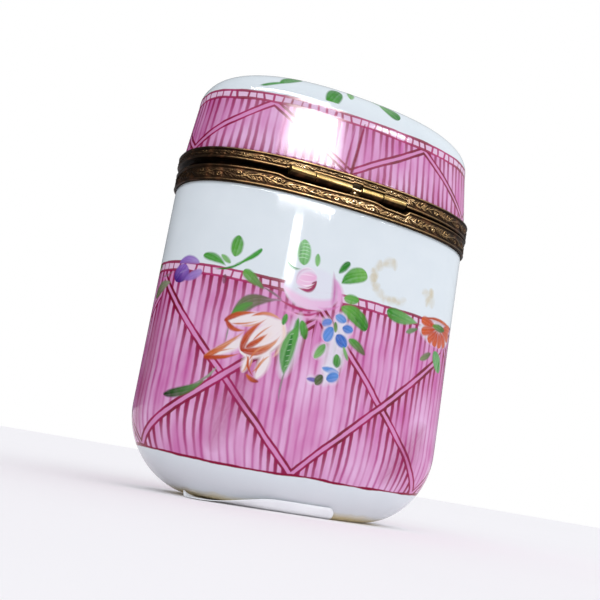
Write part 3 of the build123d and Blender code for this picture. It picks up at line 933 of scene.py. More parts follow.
def lid_band_strokes():
    """A deeper wash, and the upright double line where the zigzag turns on the hinge side."""
    return [
        # Partly painted shade: this deeper wash lies on the -X end.
        Stroke((-27.0, 47.0), (-25.0, 58.0), 7.0, (150, 24, 84), edge=2.6, strength=0.22),
        Stroke((-2.7, 48.6), (-1.2, 57.8), 0.75, (132, 0, 46), (160, 10, 84), blunt=0.15, point=0.2),
        Stroke((-3.8, 48.6), (-2.6, 57.6), 0.55, (150, 8, 70), (188, 70, 140), blunt=0.15, point=0.5),
    ]


def lid_crown_strokes():
    """The leaves at the front edge of the dome and the posy on its top, as (stroke, start, end) in space."""
    front = [
        Stroke((-7.7, 58.8), (-6.8, 62.2), 2.7, (62, 150, 36), (40, 130, 24), blunt=0.45, point=0.4),
        Stroke((-4.2, 61.2), (-4.4, 63.2), 1.5, (120, 184, 96), (96, 170, 76)),
        Stroke((2.1, 62.4), (5.5, 60.8), 2.8, (84, 162, 60), (34, 126, 18), bend=0.04, blunt=0.5, point=0.4),
        Stroke((0.2, 62.8), (2.8, 62.2), 0.6, PALE_GREEN, (100, 160, 80)),
        Stroke((-21.8, 58.8), (-18.2, 59.5), 0.6, (52, 124, 60), (84, 150, 84), blunt=0.4, point=0.3),
        Stroke((-19.0, 59.4), (-15.7, 60.9), 0.75, (84, 150, 84), (96, 170, 90), blunt=0.3, point=0.3),
        Stroke((-16.4, 60.6), (-14.9, 62.8), 2.1, (70, 150, 58), (56, 140, 44), blunt=0.6, point=0.4),
    ]
    blue, violet = (9.6, 0.2), (-10.4, 0.6)
    top = [
        petal((1.0, 0.0), 9.0, 6.2, 0, (240, 218, 236), (234, 196, 224), edge=0.8),
        *[stroke.moved(lambda place: (place[0] + 6.3, place[1] - 31.2)) for stroke in rose()[1:]],
        Stroke((-4.0, -1.0), (-8.6, -3.4), 2.0, DEEP_GREEN, GREEN, bend=0.1),
        Stroke((-4.2, 1.0), (-8.8, 2.6), 2.0, GREEN, PALE_GREEN, bend=-0.1),
        Stroke((4.0, -1.2), (8.8, -3.0), 2.1, GREEN, PALE_GREEN, bend=-0.1),
        Stroke((4.4, 1.2), (8.2, 3.6), 1.9, DEEP_GREEN, GREEN, bend=0.1),
        Stroke((-8.4, 0.2), (-13.6, -0.8), 0.7, GREEN, OLIVE, bend=0.1),
        Stroke((8.4, 0.0), (13.4, 1.0), 0.7, GREEN, OLIVE, bend=0.1),
        *small_flower(blue, 1.0, 1.5, 1.3, 0, DEEP_BLUE, BLUE),
        *small_flower(violet, 0.9, 1.4, 1.2, 0, DEEP_VIOLET, VIOLET),
        petal(blue, 0.8, 0.8, 0, YELLOW),
        petal(violet, 0.7, 0.7, 0, YELLOW),
    ]
    laid = [(stroke, dome_point(*stroke.start), dome_point(*stroke.end)) for stroke in front]
    return laid + [(stroke, crown_point(*stroke.start), crown_point(*stroke.end)) for stroke in top]


def crown_painting(name, ground, low_x, high_x):
    """The white dome of the lid with those of its strokes that reach between two places along X."""
    p = Glazed(name, ground)
    for stroke, start, end in lid_crown_strokes():
        margin = stroke.width + abs(stroke.bend) * abs(end[0] - start[0])
        if min(start[0], end[0]) - margin > high_x or max(start[0], end[0]) + margin < low_x:
            continue
        x, y, z = (start + end) / 2
        normal = (x / HALF_WIDTH**2, y / HALF_DEPTH**2, (z - LID_SHOULDER) / (LID_TOP - LID_SHOULDER) ** 2)
        p.brush_in_space(stroke, start, end, normal)
    return p.glaze()


def plain_porcelain(name, tint, roughness):
    """Undecorated porcelain with a faint mottle."""
    s = Shader(name)
    place = s.object_place()
    mottle = s.noise(place, 320.0, 4.0)
    deeper = tuple(c * 0.93 for c in tint[:3]) + (1.0,)
    s.set(Base_Color=s.mix(mottle, deeper, tint), IOR=1.5, Roughness=mottle.scaled(0.08, roughness))
    s.set(Normal=s.bump(s.noise(place, 900.0, 2.0), 0.1, 0.0003))
    return s.material


def foot_porcelain():
    """Unglazed, stained porcelain where the box stands, glazed from a little above."""
    s = Shader("porcelain_foot")
    place = s.object_place()
    height = s.split(place)[2]
    glazed = s.noise(place, 320.0, 4.0).scaled(-0.0012, height).ramp(-0.0002, 0.0007)
    s.set(Base_Color=s.mix(glazed, linear(206, 190, 152), linear(211, 213, 218)), IOR=1.3)
    s.set(Roughness=glazed.scaled(-0.45, 0.55), Normal=s.bump(s.noise(place, 900.0, 2.0), 0.1, 0.0003))
    return s.material


# ---------------------------------------------------------------- porcelain pieces
INSIDE, FOOT, OUTSIDE = 0, 1, 2  # the kinds of the body's rings, and the material of each
BAND, DOME = 1, 2  # the kinds of the lid's rings besides its inside
PLAIN_WHITE, PLAIN_ROUGHNESS = linear(222, 224, 228), 0.1
LIP_ROUND, GLAZE_START = 0.3, 1.5
RIM_LAP = 0.1  # how far the rebates start from the mounts' edges
BAND_END = LID_BAND_HIGH + 2.2  # the band's material reaches past its ladder
MEAN_RADIUS = 20.0  # turns the waviness of the dome into a share
WALL_COLUMNS = 480
CROWN_EDGES = (-24.0, -11.0, -6.5, -3.0, 0.0, 4.5, 24.0)  # where the dome's painting is divided along X
WINDOWS, WINDOW_HEIGHTS = 14, (0.0, 17.5, 24.5, 29.0, RIM_BOTTOM)  # how the wall's painting is divided


def waviness(u, z):
    """The slight unevenness of a hand-finished wall, in millimetres."""
    turn = 2 * pi * u / PERIMETER
    return 0.035 * np.sin(2 * turn + 0.13 * z) + 0.02 * np.sin(5 * turn - 0.21 * z + 1.0)


def smoothstep(value, low, high):
    share = np.clip((value - low) / (high - low), 0, 1)
    return share * share * (3 - 2 * share)


def body_rings(u):
    """Rings of the porcelain body, from the middle of its foot up the outside and down the inside, with the
    height and the kind of each."""
    rows, heights, kinds = [], [], []

    def add(z, inset_x, inset_y, kind, wave=0.0):
        rows.append(ring(u, z, inset_x + wave * waviness(u, z), inset_y + wave * waviness(u, z)))
        heights.append(z)
        kinds.append(kind)

    foot_x, foot_y = HALF_WIDTH - BASE_ROUND_X, HALF_DEPTH - BASE_ROUND_Y
    for share in np.linspace(0.06, 0.96, 16):
        add(0.0, HALF_WIDTH - foot_x * share, HALF_DEPTH - foot_y * share, FOOT)
    for angle in np.radians(np.linspace(90, 0, 44)):
        shrink = 1 - cos(angle)
        z = BASE_ROUND_Z * (1 - sin(angle))
        kind = FOOT if z < GLAZE_START else OUTSIDE
        add(z, BASE_ROUND_X * shrink, BASE_ROUND_Y * shrink, kind, float(smoothstep(z, 2, 8)))
    edge = RIM_BOTTOM - RIM_LAP
    for z in np.arange(BASE_ROUND_Z + 0.5, edge, 0.5):
        add(z, 0.0, 0.0, OUTSIDE, float(1 - smoothstep(z, 22, 38)))
    add(edge, 0.0, 0.0, OUTSIDE)
    add(edge, REBATE, REBATE, INSIDE)
    add(BODY_TOP, REBATE, REBATE, INSIDE)
    for angle in np.radians((0, 30, 60, 90)):
        inset = BODY_WALL - LIP_ROUND + LIP_ROUND * sin(angle)
        add(BODY_TOP - LIP_ROUND * (1 - cos(angle)), inset, inset, INSIDE)
    for z in np.arange(BODY_TOP - 1.5, BASE_ROUND_Z, -3.0):
        add(z, BODY_WALL, BODY_WALL, INSIDE)
    for angle in np.radians(np.linspace(0, 90, 24)):
        shrink = 1 - cos(angle)
        z = BASE_ROUND_Z + (BODY_WALL - BASE_ROUND_Z) * sin(angle)
        add(z, BODY_WALL + BASE_ROUND_X * shrink, BODY_WALL + BASE_ROUND_Y * shrink, INSIDE)
    floor_x, floor_y = foot_x - BODY_WALL, foot_y - BODY_WALL
    for share in np.linspace(0.85, 0.1, 6):
        add(BODY_WALL, HALF_WIDTH - floor_x * share, HALF_DEPTH - floor_y * share, INSIDE)
    return np.stack(rows), np.array(heights), np.array(kinds)


def dome_heights(top, degrees):
    """Heights up a dome at angles along its profile."""
    rise = top - LID_SHOULDER
    return [LID_SHOULDER + rise * sin(turn) ** (2 / DOME_POWER) for turn in np.radians(degrees)]


def lid_rings(u):
    """Rings of the lid's porcelain, from its crown down the inside to the cut edge and back up the outside,
    with the height and the kind of each."""
    rows, heights, kinds = [], [], []

    def add(points, z, kind):
        rows.append(points)
        heights.append(z)
        kinds.append(kind)

    inside = dome_heights(LID_TOP - LID_WALL, np.linspace(84, 6, 22))
    for z in inside + list(np.arange(LID_SHOULDER, LID_PORCELAIN_BOTTOM, -2.0)):
        add(dome_point(u, z, LID_WALL), z, INSIDE)
    edge = LID_RIM_TOP - RIM_LAP
    for z, inset in ((LID_PORCELAIN_BOTTOM, LID_WALL), (LID_PORCELAIN_BOTTOM, REBATE), (edge, REBATE)):
        add(ring(u, z, inset), z, INSIDE)
    outside = [edge] + list(np.arange(LID_RIM_TOP + 0.4, LID_SHOULDER, 0.5))
    for z in outside + dome_heights(LID_TOP, np.linspace(0, 88, 60)):
        points = dome_point(u, z)
        points[:, :2] *= 1 - waviness(u, z)[:, None] / MEAN_RADIUS
        add(points, z, BAND if z < BAND_END else DOME)
    return np.stack(rows), np.array(heights), np.array(kinds)


def body_window(u, z):
    """Which painted window of the body's wall a face belongs to."""
    across = np.clip(((u + PERIMETER / 2) / (PERIMETER / WINDOWS)).astype(int), 0, WINDOWS - 1)
    return across + WINDOWS * np.searchsorted(WINDOW_HEIGHTS[1:-1], z)


def strokes_in(strokes, low, high):
    """The strokes that reach into a rectangle of the unrolled wall."""
    inside = []
    for stroke in strokes:
        start, end = stroke.reach()
        if start[0] < high[0] and end[0] > low[0] and start[1] < high[1] and end[1] > low[1]:
            inside.append(stroke)
    return inside


def all_body_strokes():
    """The garland on both long sides and a posy at each end, and copies past the seam."""
    strokes = deep_washes() + beige_blotches() + garland() + side_posy(30.5, 31.5) + side_posy(-35.5, 31.0)
    for shift in (PERIMETER / 2, -PERIMETER / 2):
        strokes += [stroke.moved(lambda place, by=shift: (place[0] + by, place[1])) for stroke in garland()]
    return strokes


def set_kinds(made, kinds, part_of_last, last_kind, first_hub, last_hub):
    """Gives each face its material: that of its ring's kind, and in the last kind that of its painted part.
    The fans of the two caps, whose faces take turns, have their own."""
    row_kind = np.repeat(kinds[:-1], WALL_COLUMNS)
    index = np.zeros(len(made.data.polygons), np.int32)
    quads = len(row_kind)
    index[:quads] = np.where(row_kind == last_kind, last_kind + part_of_last, row_kind)
    index[quads::2], index[quads + 1 :: 2] = first_hub, last_hub
    made.data.polygons.foreach_set("material_index", index)


def build_porcelain_body():
    u = around(WALL_COLUMNS)
    rings, heights, kinds = body_rings(u)
    sink_under_label(rings)
    made = revolve("porcelain_body_piece", rings)
    middle_u, middle_z = add_surface_uv(made, u, heights)
    paintings, ground, strokes = [], body_ground(), all_body_strokes()
    width = PERIMETER / WINDOWS
    for low_z, high_z in zip(WINDOW_HEIGHTS, WINDOW_HEIGHTS[1:]):
        for column in range(WINDOWS):
            low_u = column * width - PERIMETER / 2
            inside = strokes_in(strokes, (low_u, low_z), (low_u + width, high_z))
            paintings.append(painting(f"porcelain_{column}_{low_z:.0f}", ground, inside))
    quads = (len(rings) - 1) * WALL_COLUMNS
    set_kinds(made, kinds, body_window(middle_u[:quads], middle_z[:quads]), OUTSIDE, FOOT, INSIDE)
    white = plain_porcelain("porcelain_inside", PLAIN_WHITE, PLAIN_ROUGHNESS)
    finish_piece(made, "body", "painted_porcelain", "porcelain_body", white, foot_porcelain(), *paintings)


def build_porcelain_lid():
    u = around(WALL_COLUMNS)
    rings, heights, kinds = lid_rings(u)
    made = revolve("porcelain_lid_piece", rings)
    add_surface_uv(made, u, heights)
    white = plain_porcelain("porcelain_lid_inside", PLAIN_WHITE, PLAIN_ROUGHNESS)
    band = painting("porcelain_lid_band", lid_ground(), lid_band_strokes())
    ground = Painted("white_ground").done()
    domes = []
    for low_x, high_x in zip(CROWN_EDGES, CROWN_EDGES[1:]):
        domes.append(crown_painting(f"porcelain_dome_{len(domes)}", ground, low_x, high_x))
    part = np.searchsorted(CROWN_EDGES[1:-1], rings[..., 0])
    set_kinds(made, kinds, part[:-1].ravel(), DOME, INSIDE, DOME + part[-1])
    finish_piece(made, "lid", "painted_porcelain", "porcelain_lid", white, band, *domes)


# ---------------------------------------------------------------- base label
LABEL_LEFT, LABEL_RIGHT = span_mm("base_label", 0)
LABEL_BACK, LABEL_TOP = span_mm("base_label", 1)[1], span_mm("base_label", 2)[1]
LABEL_THICKNESS, LABEL_CORNER = 0.12, 1.2


def base_height(x, y):
    """The height of the body's rounded underside above a place in plan."""
    low, high = np.zeros_like(x), np.ones_like(x)
    for _ in range(30):
        shrink = (low + high) / 2
        across = np.abs(x / (HALF_WIDTH - BASE_ROUND_X * shrink)) ** PLAN_POWER
        across = across + np.abs(y / (HALF_DEPTH - BASE_ROUND_Y * shrink)) ** PLAN_POWER
        outside = across > 1
        high = np.where(outside, shrink, high)
        low = np.where(outside, low, shrink)
    return BASE_ROUND_Z * (1 - np.sin(np.arccos(np.clip(1 - low, -1, 1))))


def base_normal(x, y, z, step=0.02):
    """The outward normal of the body's underside at height z above a place in plan."""
    slope_x = (base_height(x + step, y) - base_height(x - step, y)) / (2 * step)
    slope_y = (base_height(x, y + step) - base_height(x, y - step)) / (2 * step)
    normal = np.stack([slope_x, slope_y, -np.ones_like(z)], -1)
    return normal / np.linalg.norm(normal, axis=-1, keepdims=True)


def sheet(name, outer, inner):
    """A thin sheet from the grids of its two sides, shape (rows, columns, 3)."""
    index = np.arange(outer[..., 0].size).reshape(outer.shape[:2])
    count = index.size
    a, b, c, d = index[:-1, :-1], index[:-1, 1:], index[1:, 1:], index[1:, :-1]
    front = np.stack([a, b, c, d], -1).reshape(-1, 4)
    back = np.stack([a, d, c, b], -1).reshape(-1, 4) + count
    border = np.concatenate([index[0], index[1:, -1], index[-1, -2::-1], index[-2:0:-1, 0]])
    after = np.roll(border, -1)
    sides = np.stack([after, border, border + count, after + count], -1)
    points = np.concatenate([outer.reshape(-1, 3), inner.reshape(-1, 3)])
    return make_object(name, points, np.concatenate([front, back, sides]))


def sink_under_label(rings):
    """Lets the flat of the foot in by the label's thickness where the label lies, so that both are flush."""
    x, y, z = rings[..., 0], rings[..., 1], rings[..., 2]
    under = (x > LABEL_LEFT + 0.1) & (x < LABEL_RIGHT - 0.1) & (y < LABEL_BACK - 0.1) & (z < 0.3)
    z[under] += LABEL_THICKNESS + 0.02


def build_label():
    """The paper sticker that wraps from the flat of the base on to the front, with a lifting corner."""
    columns, rows = 90, 40
    left = LABEL_LEFT + 0.5
    x = np.linspace(left, LABEL_RIGHT, columns)[None, :].repeat(rows, 0)
    shrink = 1 - cos(np.arcsin(1 - LABEL_TOP / BASE_ROUND_Z))
    edge_x, edge_y = HALF_WIDTH - BASE_ROUND_X * shrink, HALF_DEPTH - BASE_ROUND_Y * shrink
    front = -edge_y * np.clip(1 - np.abs(x / edge_x) ** PLAN_POWER, 0, 1) ** (1 / PLAN_POWER)
    into_corner = np.maximum(0, LABEL_CORNER - np.minimum(x - left, LABEL_RIGHT - x))
    cut = LABEL_CORNER - np.sqrt(np.maximum(0, LABEL_CORNER**2 - into_corner**2))
    slant = 0.045 * np.maximum(0, -7 - x) ** 2
    share = np.linspace(0, 1, rows)[:, None]
    back_edge, front_edge = LABEL_BACK - np.maximum(cut, slant), front + cut
    y = back_edge + (front_edge - back_edge) * share
    stiff_edge = np.minimum(front_edge, cut - 10.4 + 0.24 * np.maximum(0, -8 - x))
    z = base_height(x, y)
    normal = base_normal(x, y, z)
    proud = smoothstep(z, 0.0, 0.5) * LABEL_THICKNESS
    curl = smoothstep(-x, 4.5, 15.0)
    free = smoothstep(share, 0.3, 1.0)
    ripple = 0.04 * np.sin(x * 1.3 + 4 * share) * free
    outer = np.stack([x, y, z], -1) + normal * proud[..., None]
    outer[..., 1] += share * (stiff_edge - front_edge) - 0.35 * free - ripple
    outer[..., 2] *= 1 - 0.92 * curl * smoothstep(share, -0.5, 0.4)
    outer[..., 2] = np.maximum(outer[..., 2], 0.0)
    made = sheet("base_label_piece", outer, outer - normal * (LABEL_THICKNESS - 0.01))
    s = Shader("label_paper")
    place = s.object_place()
    fibre, blotch = s.noise(place, 2600.0, 4.0), s.noise(place, 160.0, 2.0)
    s.set(Base_Color=s.mix(blotch, linear(240, 241, 245), linear(252, 252, 254)))
    s.set(Roughness=fibre.scaled(0.2, 0.35), Normal=s.bump(fibre, 0.25, 0.00004))
    finish_piece(made, "body", "label_paper", "base_label", s.material)


# ---------------------------------------------------------------- bronze
PATINA = linear(36, 25, 16)
BRONZE = linear(128, 102, 68), linear(236, 208, 170)  # half and fully rubbed
BRASS = linear(124, 102, 62), linear(206, 180, 128)


def bronze(name, by_relief=False, bright=0.5, tarnish=0.5, shade=0.35, brassy=False):
    """Antique bronze: dark patina rubbed away on what stands proud, with painted shade underneath.
    It is darker at the two ends of the box, mostly painted shade with a little wear."""
    s = Shader(name)
    place = s.object_place()
    patches, fine = s.noise(place, 330.0, 3.0), s.noise(place, 4200.0, 3.0)
    if by_relief:
        relief = s.node("ShaderNodeAttribute", {"attribute_name": "relief"}).outputs["Fac"]
        wear_and_shade = Signal(s, relief) + patches.scaled(0.5, -0.25)
    else:
        wear_and_shade = patches.scaled(0.6, bright - 0.3)
    wear_and_shade = (fine - 0.5).scaled(0.25, wear_and_shade)
    # Mostly painted shade, with a little wear: darker towards both ends of the box along X.
    wear_and_shade = abs(s.split(place)[0]).ramp(0.009, 0.022).scaled(-0.42, wear_and_shade)
    # Painted shade: darker where the surface faces down, as much as the shade argument gives.
    level = s.split(s.node("ShaderNodeTexCoord").outputs["Normal"])[2]
    wear_and_shade = level.ramp(0.1, -0.7).scaled(-shade, wear_and_shade)
    middle, high = BRASS if brassy else BRONZE
    metal = s.mix(wear_and_shade.ramp(0.52, 0.92), s.mix(wear_and_shade.ramp(0.08, 0.6), PATINA, middle), high)
    warm = s.noise(place, 800.0, 2.0).ramp(0.5, 0.75) * (0.35 * tarnish)
    s.set(Base_Color=s.mix(warm, metal, linear(150, 98, 66)), Metallic=1.0)
    rough = wear_and_shade.ramp(0.1, 0.8).scaled(-0.26, 0.46)
    s.set(Roughness=fine.scaled(0.12, rough), Normal=s.bump(fine, 0.3, 0.00003))
    return s.material


def ridge(field, a, b, path, width, height):
    """Raises a rounded ridge along a path of points on the tile's grid."""
    for (a0, b0), (a1, b1) in zip(path, path[1:]):
        along_a, along_b = a1 - a0, b1 - b0
        squared = max(along_a**2 + along_b**2, 1e-9)
        share = np.clip(((a - a0) * along_a + (b - b0) * along_b) / squared, 0, 1)
        away = np.hypot(a - a0 - share * along_a, b - b0 - share * along_b) / (width / 2)
        np.maximum(field, height * np.sqrt(np.clip(1 - away**2, 0, 1)), out=field)


def leaf_relief(field, a, b, base, tip, width, height):
    """A veined leaf from its base to its tip."""
    along = np.array(tip) - np.array(base)
    length = np.hypot(*along)
    along = along / length
    s = ((a - base[0]) * along[0] + (b - base[1]) * along[1]) / length
    t = (-(a - base[0]) * along[1] + (b - base[1]) * along[0]) / (width / 2)
    inside = np.clip(s * (1 - s), 0, 1)
    shape = np.sqrt(inside) * 2 * (1 - 0.35 * s)
    over = np.clip(1 - (t / np.maximum(shape, 1e-6)) ** 2, 0, 1)
    vein = 0.35 * np.exp(-((t / 0.22) ** 2)) + 0.12 * np.cos(s * 26 - np.abs(t) * 5)
    raised = height * np.sqrt(over) * (0.8 - vein) * (s > 0) * (s < 1)
    np.maximum(field, raised, out=field)


RELIEF_TILES, RELIEF_WAVES, RELIEF_BAND = 7, 3, 1.7


def relief_tile(columns, rows):
    """Heights from 0 to 1 of one repeat of the mounts' ornament: leaves and curls off a winding stem."""
    length = PERIMETER / RELIEF_TILES
    along, up = (np.arange(columns) / columns - 0.5) * length, np.linspace(-0.5, 0.5, rows) * RELIEF_BAND
    a, b = np.meshgrid(along, up)
    field = 0.12 + 0.06 * np.cos(9 * a + 7 * b) * np.cos(7 * a - 10 * b)
    random = np.random.default_rng(5)
    wave = 2 * pi * RELIEF_WAVES / length

    def stem(x):
        return 0.36 * sin(wave * x)

    leaves, count = [], 60
    for k in range(count):
        lean = 1 if k % 2 else -1
        x = ((k + random.random()) / count - 0.5) * length
        reach, size = random.random(2)
        base = (x, stem(x) - 0.12 * lean)
        tip = (x + 0.5 + 0.65 * reach, lean * (0.5 + 0.34 * size))
        leaves.append((base, tip, 0.3 + 0.26 * size, 0.72 + 0.28 * reach))
    for shift in (-length, 0.0, length):
        winding = [(x + shift, stem(x)) for x in np.linspace(-length / 2, length / 2, 50)]
        ridge(field, a, b, winding, 0.22, 0.72)
        for k in range(2 * RELIEF_WAVES):
            side = -1 if k % 2 else 1
            middle = ((k + 0.5) / (2 * RELIEF_WAVES) - 0.5) * length + shift
            curl = []
            for step in range(11):
                turn, radius = radians(-40 + 34 * step), 0.4 - 0.03 * step
                curl.append((middle + radius * cos(turn), side * (0.26 + radius * sin(turn))))
            ridge(field, a, b, curl, 0.2, 0.78)
        for base, tip, width, height in leaves:
            leaf_relief(field, a, b, (base[0] + shift, base[1]), (tip[0] + shift, tip[1]), width, height)
    return field


def relief_field(columns, rows, seed):
    """The ornament all round a mount, a little rubbed and uneven, as heights from 0 to 1."""
    field = np.tile(relief_tile(columns // RELIEF_TILES, rows), (1, RELIEF_TILES))
    random = np.random.default_rng(seed)
    coarse = random.random((WEAR_ROWS, columns // WEAR_STEP))
    wrapped = np.concatenate([coarse, coarse[:, :1]], 1)
    rows_at, columns_at = np.linspace(0, WEAR_ROWS - 1, rows), np.arange(columns) / WEAR_STEP
    grown = np.stack([np.interp(columns_at, np.arange(wrapped.shape[1]), line) for line in wrapped])
    wear = np.stack([np.interp(rows_at, np.arange(WEAR_ROWS), column) for column in grown.T], 1)
    pits = random.random(field.shape)
    return np.clip(field * (0.62 + 0.55 * wear) + 0.12 * (pits - 0.5), 0, 1)


WEAR_ROWS, WEAR_STEP = 6, 12
RIM_COLUMNS, RELIEF_ROWS, RELIEF_DEPTH = 1792, 26, 0.26
HIDDEN_RELIEF = 0.05  # stands for deep patina on the mounts' hidden sides


def set_relief(made, values):
    """Stores how proud each vertex stands, which the bronze's patina follows."""
    attribute = made.data.attributes.new("relief", "FLOAT", "POINT")
    padded = np.concatenate([values.ravel(), np.full(len(made.data.vertices) - values.size, 0.5)])
    attribute.data.foreach_set("value", padded.astype(np.float32))


def in_hinge(x, y, start, end):
    """Whether places are at the hinge side between two positions along it."""
    return (x > start) & (x < end) & (y < 0)


def mount_face(u, low, high, proud, seed):
    """Rows of the ornamented outer face of a mount from its lower edge to its upper one, and their relief
    values. low and high are heights for each u. A bead runs along each edge, with a groove inside it."""
    field = relief_field(len(u), RELIEF_ROWS, seed)
    rows, values = [], []
    bead, groove = BEAD_HEIGHT / 2, proud - 0.2

    def add(z, offset, value):
        rows.append(ring(u, z, -offset))
        values.append(np.broadcast_to(value, u.shape))

    def add_bead(middle, degrees):
        for turn in np.radians(degrees):
            offset = proud - BEAD_REACH + BEAD_REACH * cos(turn)
            add(middle + bead * sin(turn), offset, 0.25 + 0.3 * cos(turn))

    add_bead(low + bead, (-80, -45, -10, 25, 60, 90))
    add(low + BEAD_HEIGHT + 0.03, groove, 0.0)
    inner_low, inner_high = low + BEAD_HEIGHT + 0.06, high - BEAD_HEIGHT - 0.06
    for k in range(RELIEF_ROWS):
        share = k / (RELIEF_ROWS - 1)
        height = field[k] * min(1.0, 6 * share, 6 * (1 - share))
        add(inner_low + (inner_high - inner_low) * share, groove + RELIEF_DEPTH * height, height)
    add(high - BEAD_HEIGHT - 0.03, groove, 0.0)
    add_bead(high - bead, (-90, -60, -25, 10, 45, 80))
    return rows, values


def close_mount(name, u, face, values, back):
    """A mount from its ornamented face and the (offset, height) rows of its hidden sides, top to bottom."""
    made = revolve(name, np.stack(face + [ring(u, z, -offset) for offset, z in back]), closed=True)
    set_relief(made, np.stack(values + [np.full(u.shape, HIDDEN_RELIEF)] * len(back)))
    return made


def build_body_rim():
    """The lower mount, scooped out over the hinge, where its ends rise softly."""
    u = around(RIM_COLUMNS)
    x, y, _ = ring(u, 0.0, 0.0).T
    left = smoothstep(x, HINGE_START - NOTCH_END_GAP - 1.2, HINGE_START + 0.4)
    right = smoothstep(x, HINGE_END + NOTCH_END_GAP, HINGE_END + NOTCH_END_GAP + 0.9)
    scoop = left * (1 - right) * (y < 0)
    high = RIM_TOP - SCOOP_DEPTH * scoop - 0.12 * scoop * np.sin((x - HINGE_START) * 0.33)
    high = high - SCOOP_DEPTH * scoop * smoothstep(x, HINGE_END - 5.5, HINGE_END - 3.0)
    face, values = mount_face(u, np.full(u.shape, RIM_BOTTOM), high, RIM_PROUD, 11)
    shelf = np.where(scoop > 0.5, -(HINGE_Y + 0.6 + HALF_DEPTH), 0.1)
    back = [
        (shelf, high + 0.02),
        (shelf - 0.05, RIM_TOP),
        (COLLAR_INNER, RIM_TOP),
        (COLLAR_INNER, RIM_TOP - RIM_FLANGE),
        (STRIP_INNER, RIM_TOP - RIM_FLANGE),
        (STRIP_INNER, RIM_BOTTOM),
    ]
    made = close_mount("body_rim_piece", u, face, values, back)
    finish_piece(made, "body", "bronze", "body_rim", bronze("bronze_body_rim", by_relief=True))


def build_lid_rim():
    """The upper mount, notched over the barrels of the hinge and deeper over the stop."""
    u = around(RIM_COLUMNS)
    x, y, _ = ring(u, 0.0, 0.0).T
    joint = LID_JOINT_HEIGHT - LID_JOINT_SLOPE * x
    lid_part = in_hinge(x, y, HINGE_START - NOTCH_END_GAP, HINGE_END + NOTCH_END_GAP)
    body_part = in_hinge(x, y, LONG_START - NOTCH_END_GAP, SHORT_END + NOTCH_END_GAP)
    over_stop = in_hinge(x, y, LONG_END, SHORT_START)
    radius = np.where(body_part, NOTCH_R + STOP_ROOM * over_stop, BARREL_R + 0.02)
    rise = np.sqrt(np.maximum(radius**2 - (HALF_DEPTH + LID_RIM_PROUD + HINGE_Y) ** 2, 0.01))
    back_rise = np.sqrt(radius**2 - (HALF_DEPTH + STRIP_INNER + HINGE_Y) ** 2)
    low, strip_low = (np.where(lid_part, HINGE_Z + above, joint) for above in (rise, back_rise))
    face, values = mount_face(u, low, np.full(u.shape, LID_RIM_TOP), LID_RIM_PROUD, 23)
    back = [
        (STRIP_INNER, LID_RIM_TOP),
        (STRIP_INNER, strip_low + LID_FLANGE),
        (LID_FLANGE_REACH, strip_low + LID_FLANGE),
        (LID_FLANGE_REACH, strip_low),
        (STRIP_INNER, strip_low),
    ]
    made = close_mount("lid_rim_piece", u, face, values, back)
    finish_piece(made, "lid", "bronze", "lid_rim", bronze("bronze_lid_rim", by_relief=True))


def build_collar():
    """The thin collar inside the opening, rounded on top."""
    section = [(COLLAR_OUTER, RIM_TOP)]
    section += [(COLLAR_OUTER - 0.02 * sin(k), RIM_TOP + 0.3 * k) for k in range(1, 6)]
    middle, half = (COLLAR_OUTER + COLLAR_INNER) / 2, (COLLAR_OUTER - COLLAR_INNER) / 2
    for turn in np.radians(range(0, 181, 20)):
        section.append((middle + half * cos(turn), COLLAR_TOP - half + half * sin(turn)))
    section += [(COLLAR_INNER, RIM_TOP + 0.3 * k) for k in (4, 2, 0)]
    rings = np.stack([ring(around(WALL_COLUMNS), z, -offset) for offset, z in section])
    made = revolve("body_collar_piece", rings, closed=True)
    # Its bronze is all dark patina (bright=0.0): painted shade for the dark gap between the mounts.
    finish_piece(made, "body", "bronze", "body_collar", bronze("bronze_collar_painted_shade", bright=0.0))


# ---------------------------------------------------------------- hinge
def lathe(name, profile, centre, axis, sides, shape=None):
    """A turned piece: profile is (distance along the axis, radius), axis "X" or "Y".
    shape may change the radius by (turn, distance, radius)."""
    turn = np.linspace(0, 2 * pi, sides, endpoint=False)
    rows = []
    for along, radius in profile:
        reach = radius * np.ones(sides) if shape is None else radius + shape(turn, along, radius)
        first, second = reach * np.cos(turn), reach * np.sin(turn)
        if axis == "X":
            rows.append(np.stack([np.full(sides, along), centre[1] + first, centre[2] + second], -1))
        else:
            rows.append(np.stack([centre[0] + second, np.full(sides, along), centre[2] + first], -1))
    return revolve(name, np.stack(rows))


def barrel_shape(seed, flutes):
    """Small unevenness of a rolled and filed barrel: flats along it, a seam and dents."""
    random = np.random.default_rng(seed)
    phase = random.random(4) * 2 * pi

    def shape(turn, along, radius):
        flats = 0.012 * np.cos(flutes * turn + phase[0]) + 0.008 * np.cos(3 * turn + phase[1])
        dents = 0.008 * np.sin(2.1 * along + phase[2]) * np.cos(turn + phase[3])
        seam = -0.05 * np.exp(-(((turn - 1.45 * pi) / 0.06) ** 2))
        return (flats + dents + seam) * min(1.0, radius / BARREL_R)

    return shape


def build_knuckle(node, body, seed, flutes):
    start, end = span_mm(node, 0)
    hole, edge, bevel = 0.36, 0.1, 0.03
    closing = [(0.0, hole), (0.0, BARREL_R - edge), (bevel, BARREL_R - bevel), (edge, BARREL_R)]
    profile = [(start + along, radius) for along, radius in closing]
    profile += [(x, BARREL_R) for x in np.linspace(start + 2 * edge, end - 2 * edge, 24)]
    profile += [(end - along, radius) for along, radius in closing[::-1]]
    made = lathe(f"{node}_piece", profile, (0, HINGE_Y, HINGE_Z), "X", 72, barrel_shape(seed, flutes))
    # shade=0.75 gives the barrels strong painted shade on their undersides.
    metal = bronze(f"bronze_{node}", bright=0.62, tarnish=0.6, shade=0.75, brassy=True)
    finish_piece(made, body, "bronze", node, metal)


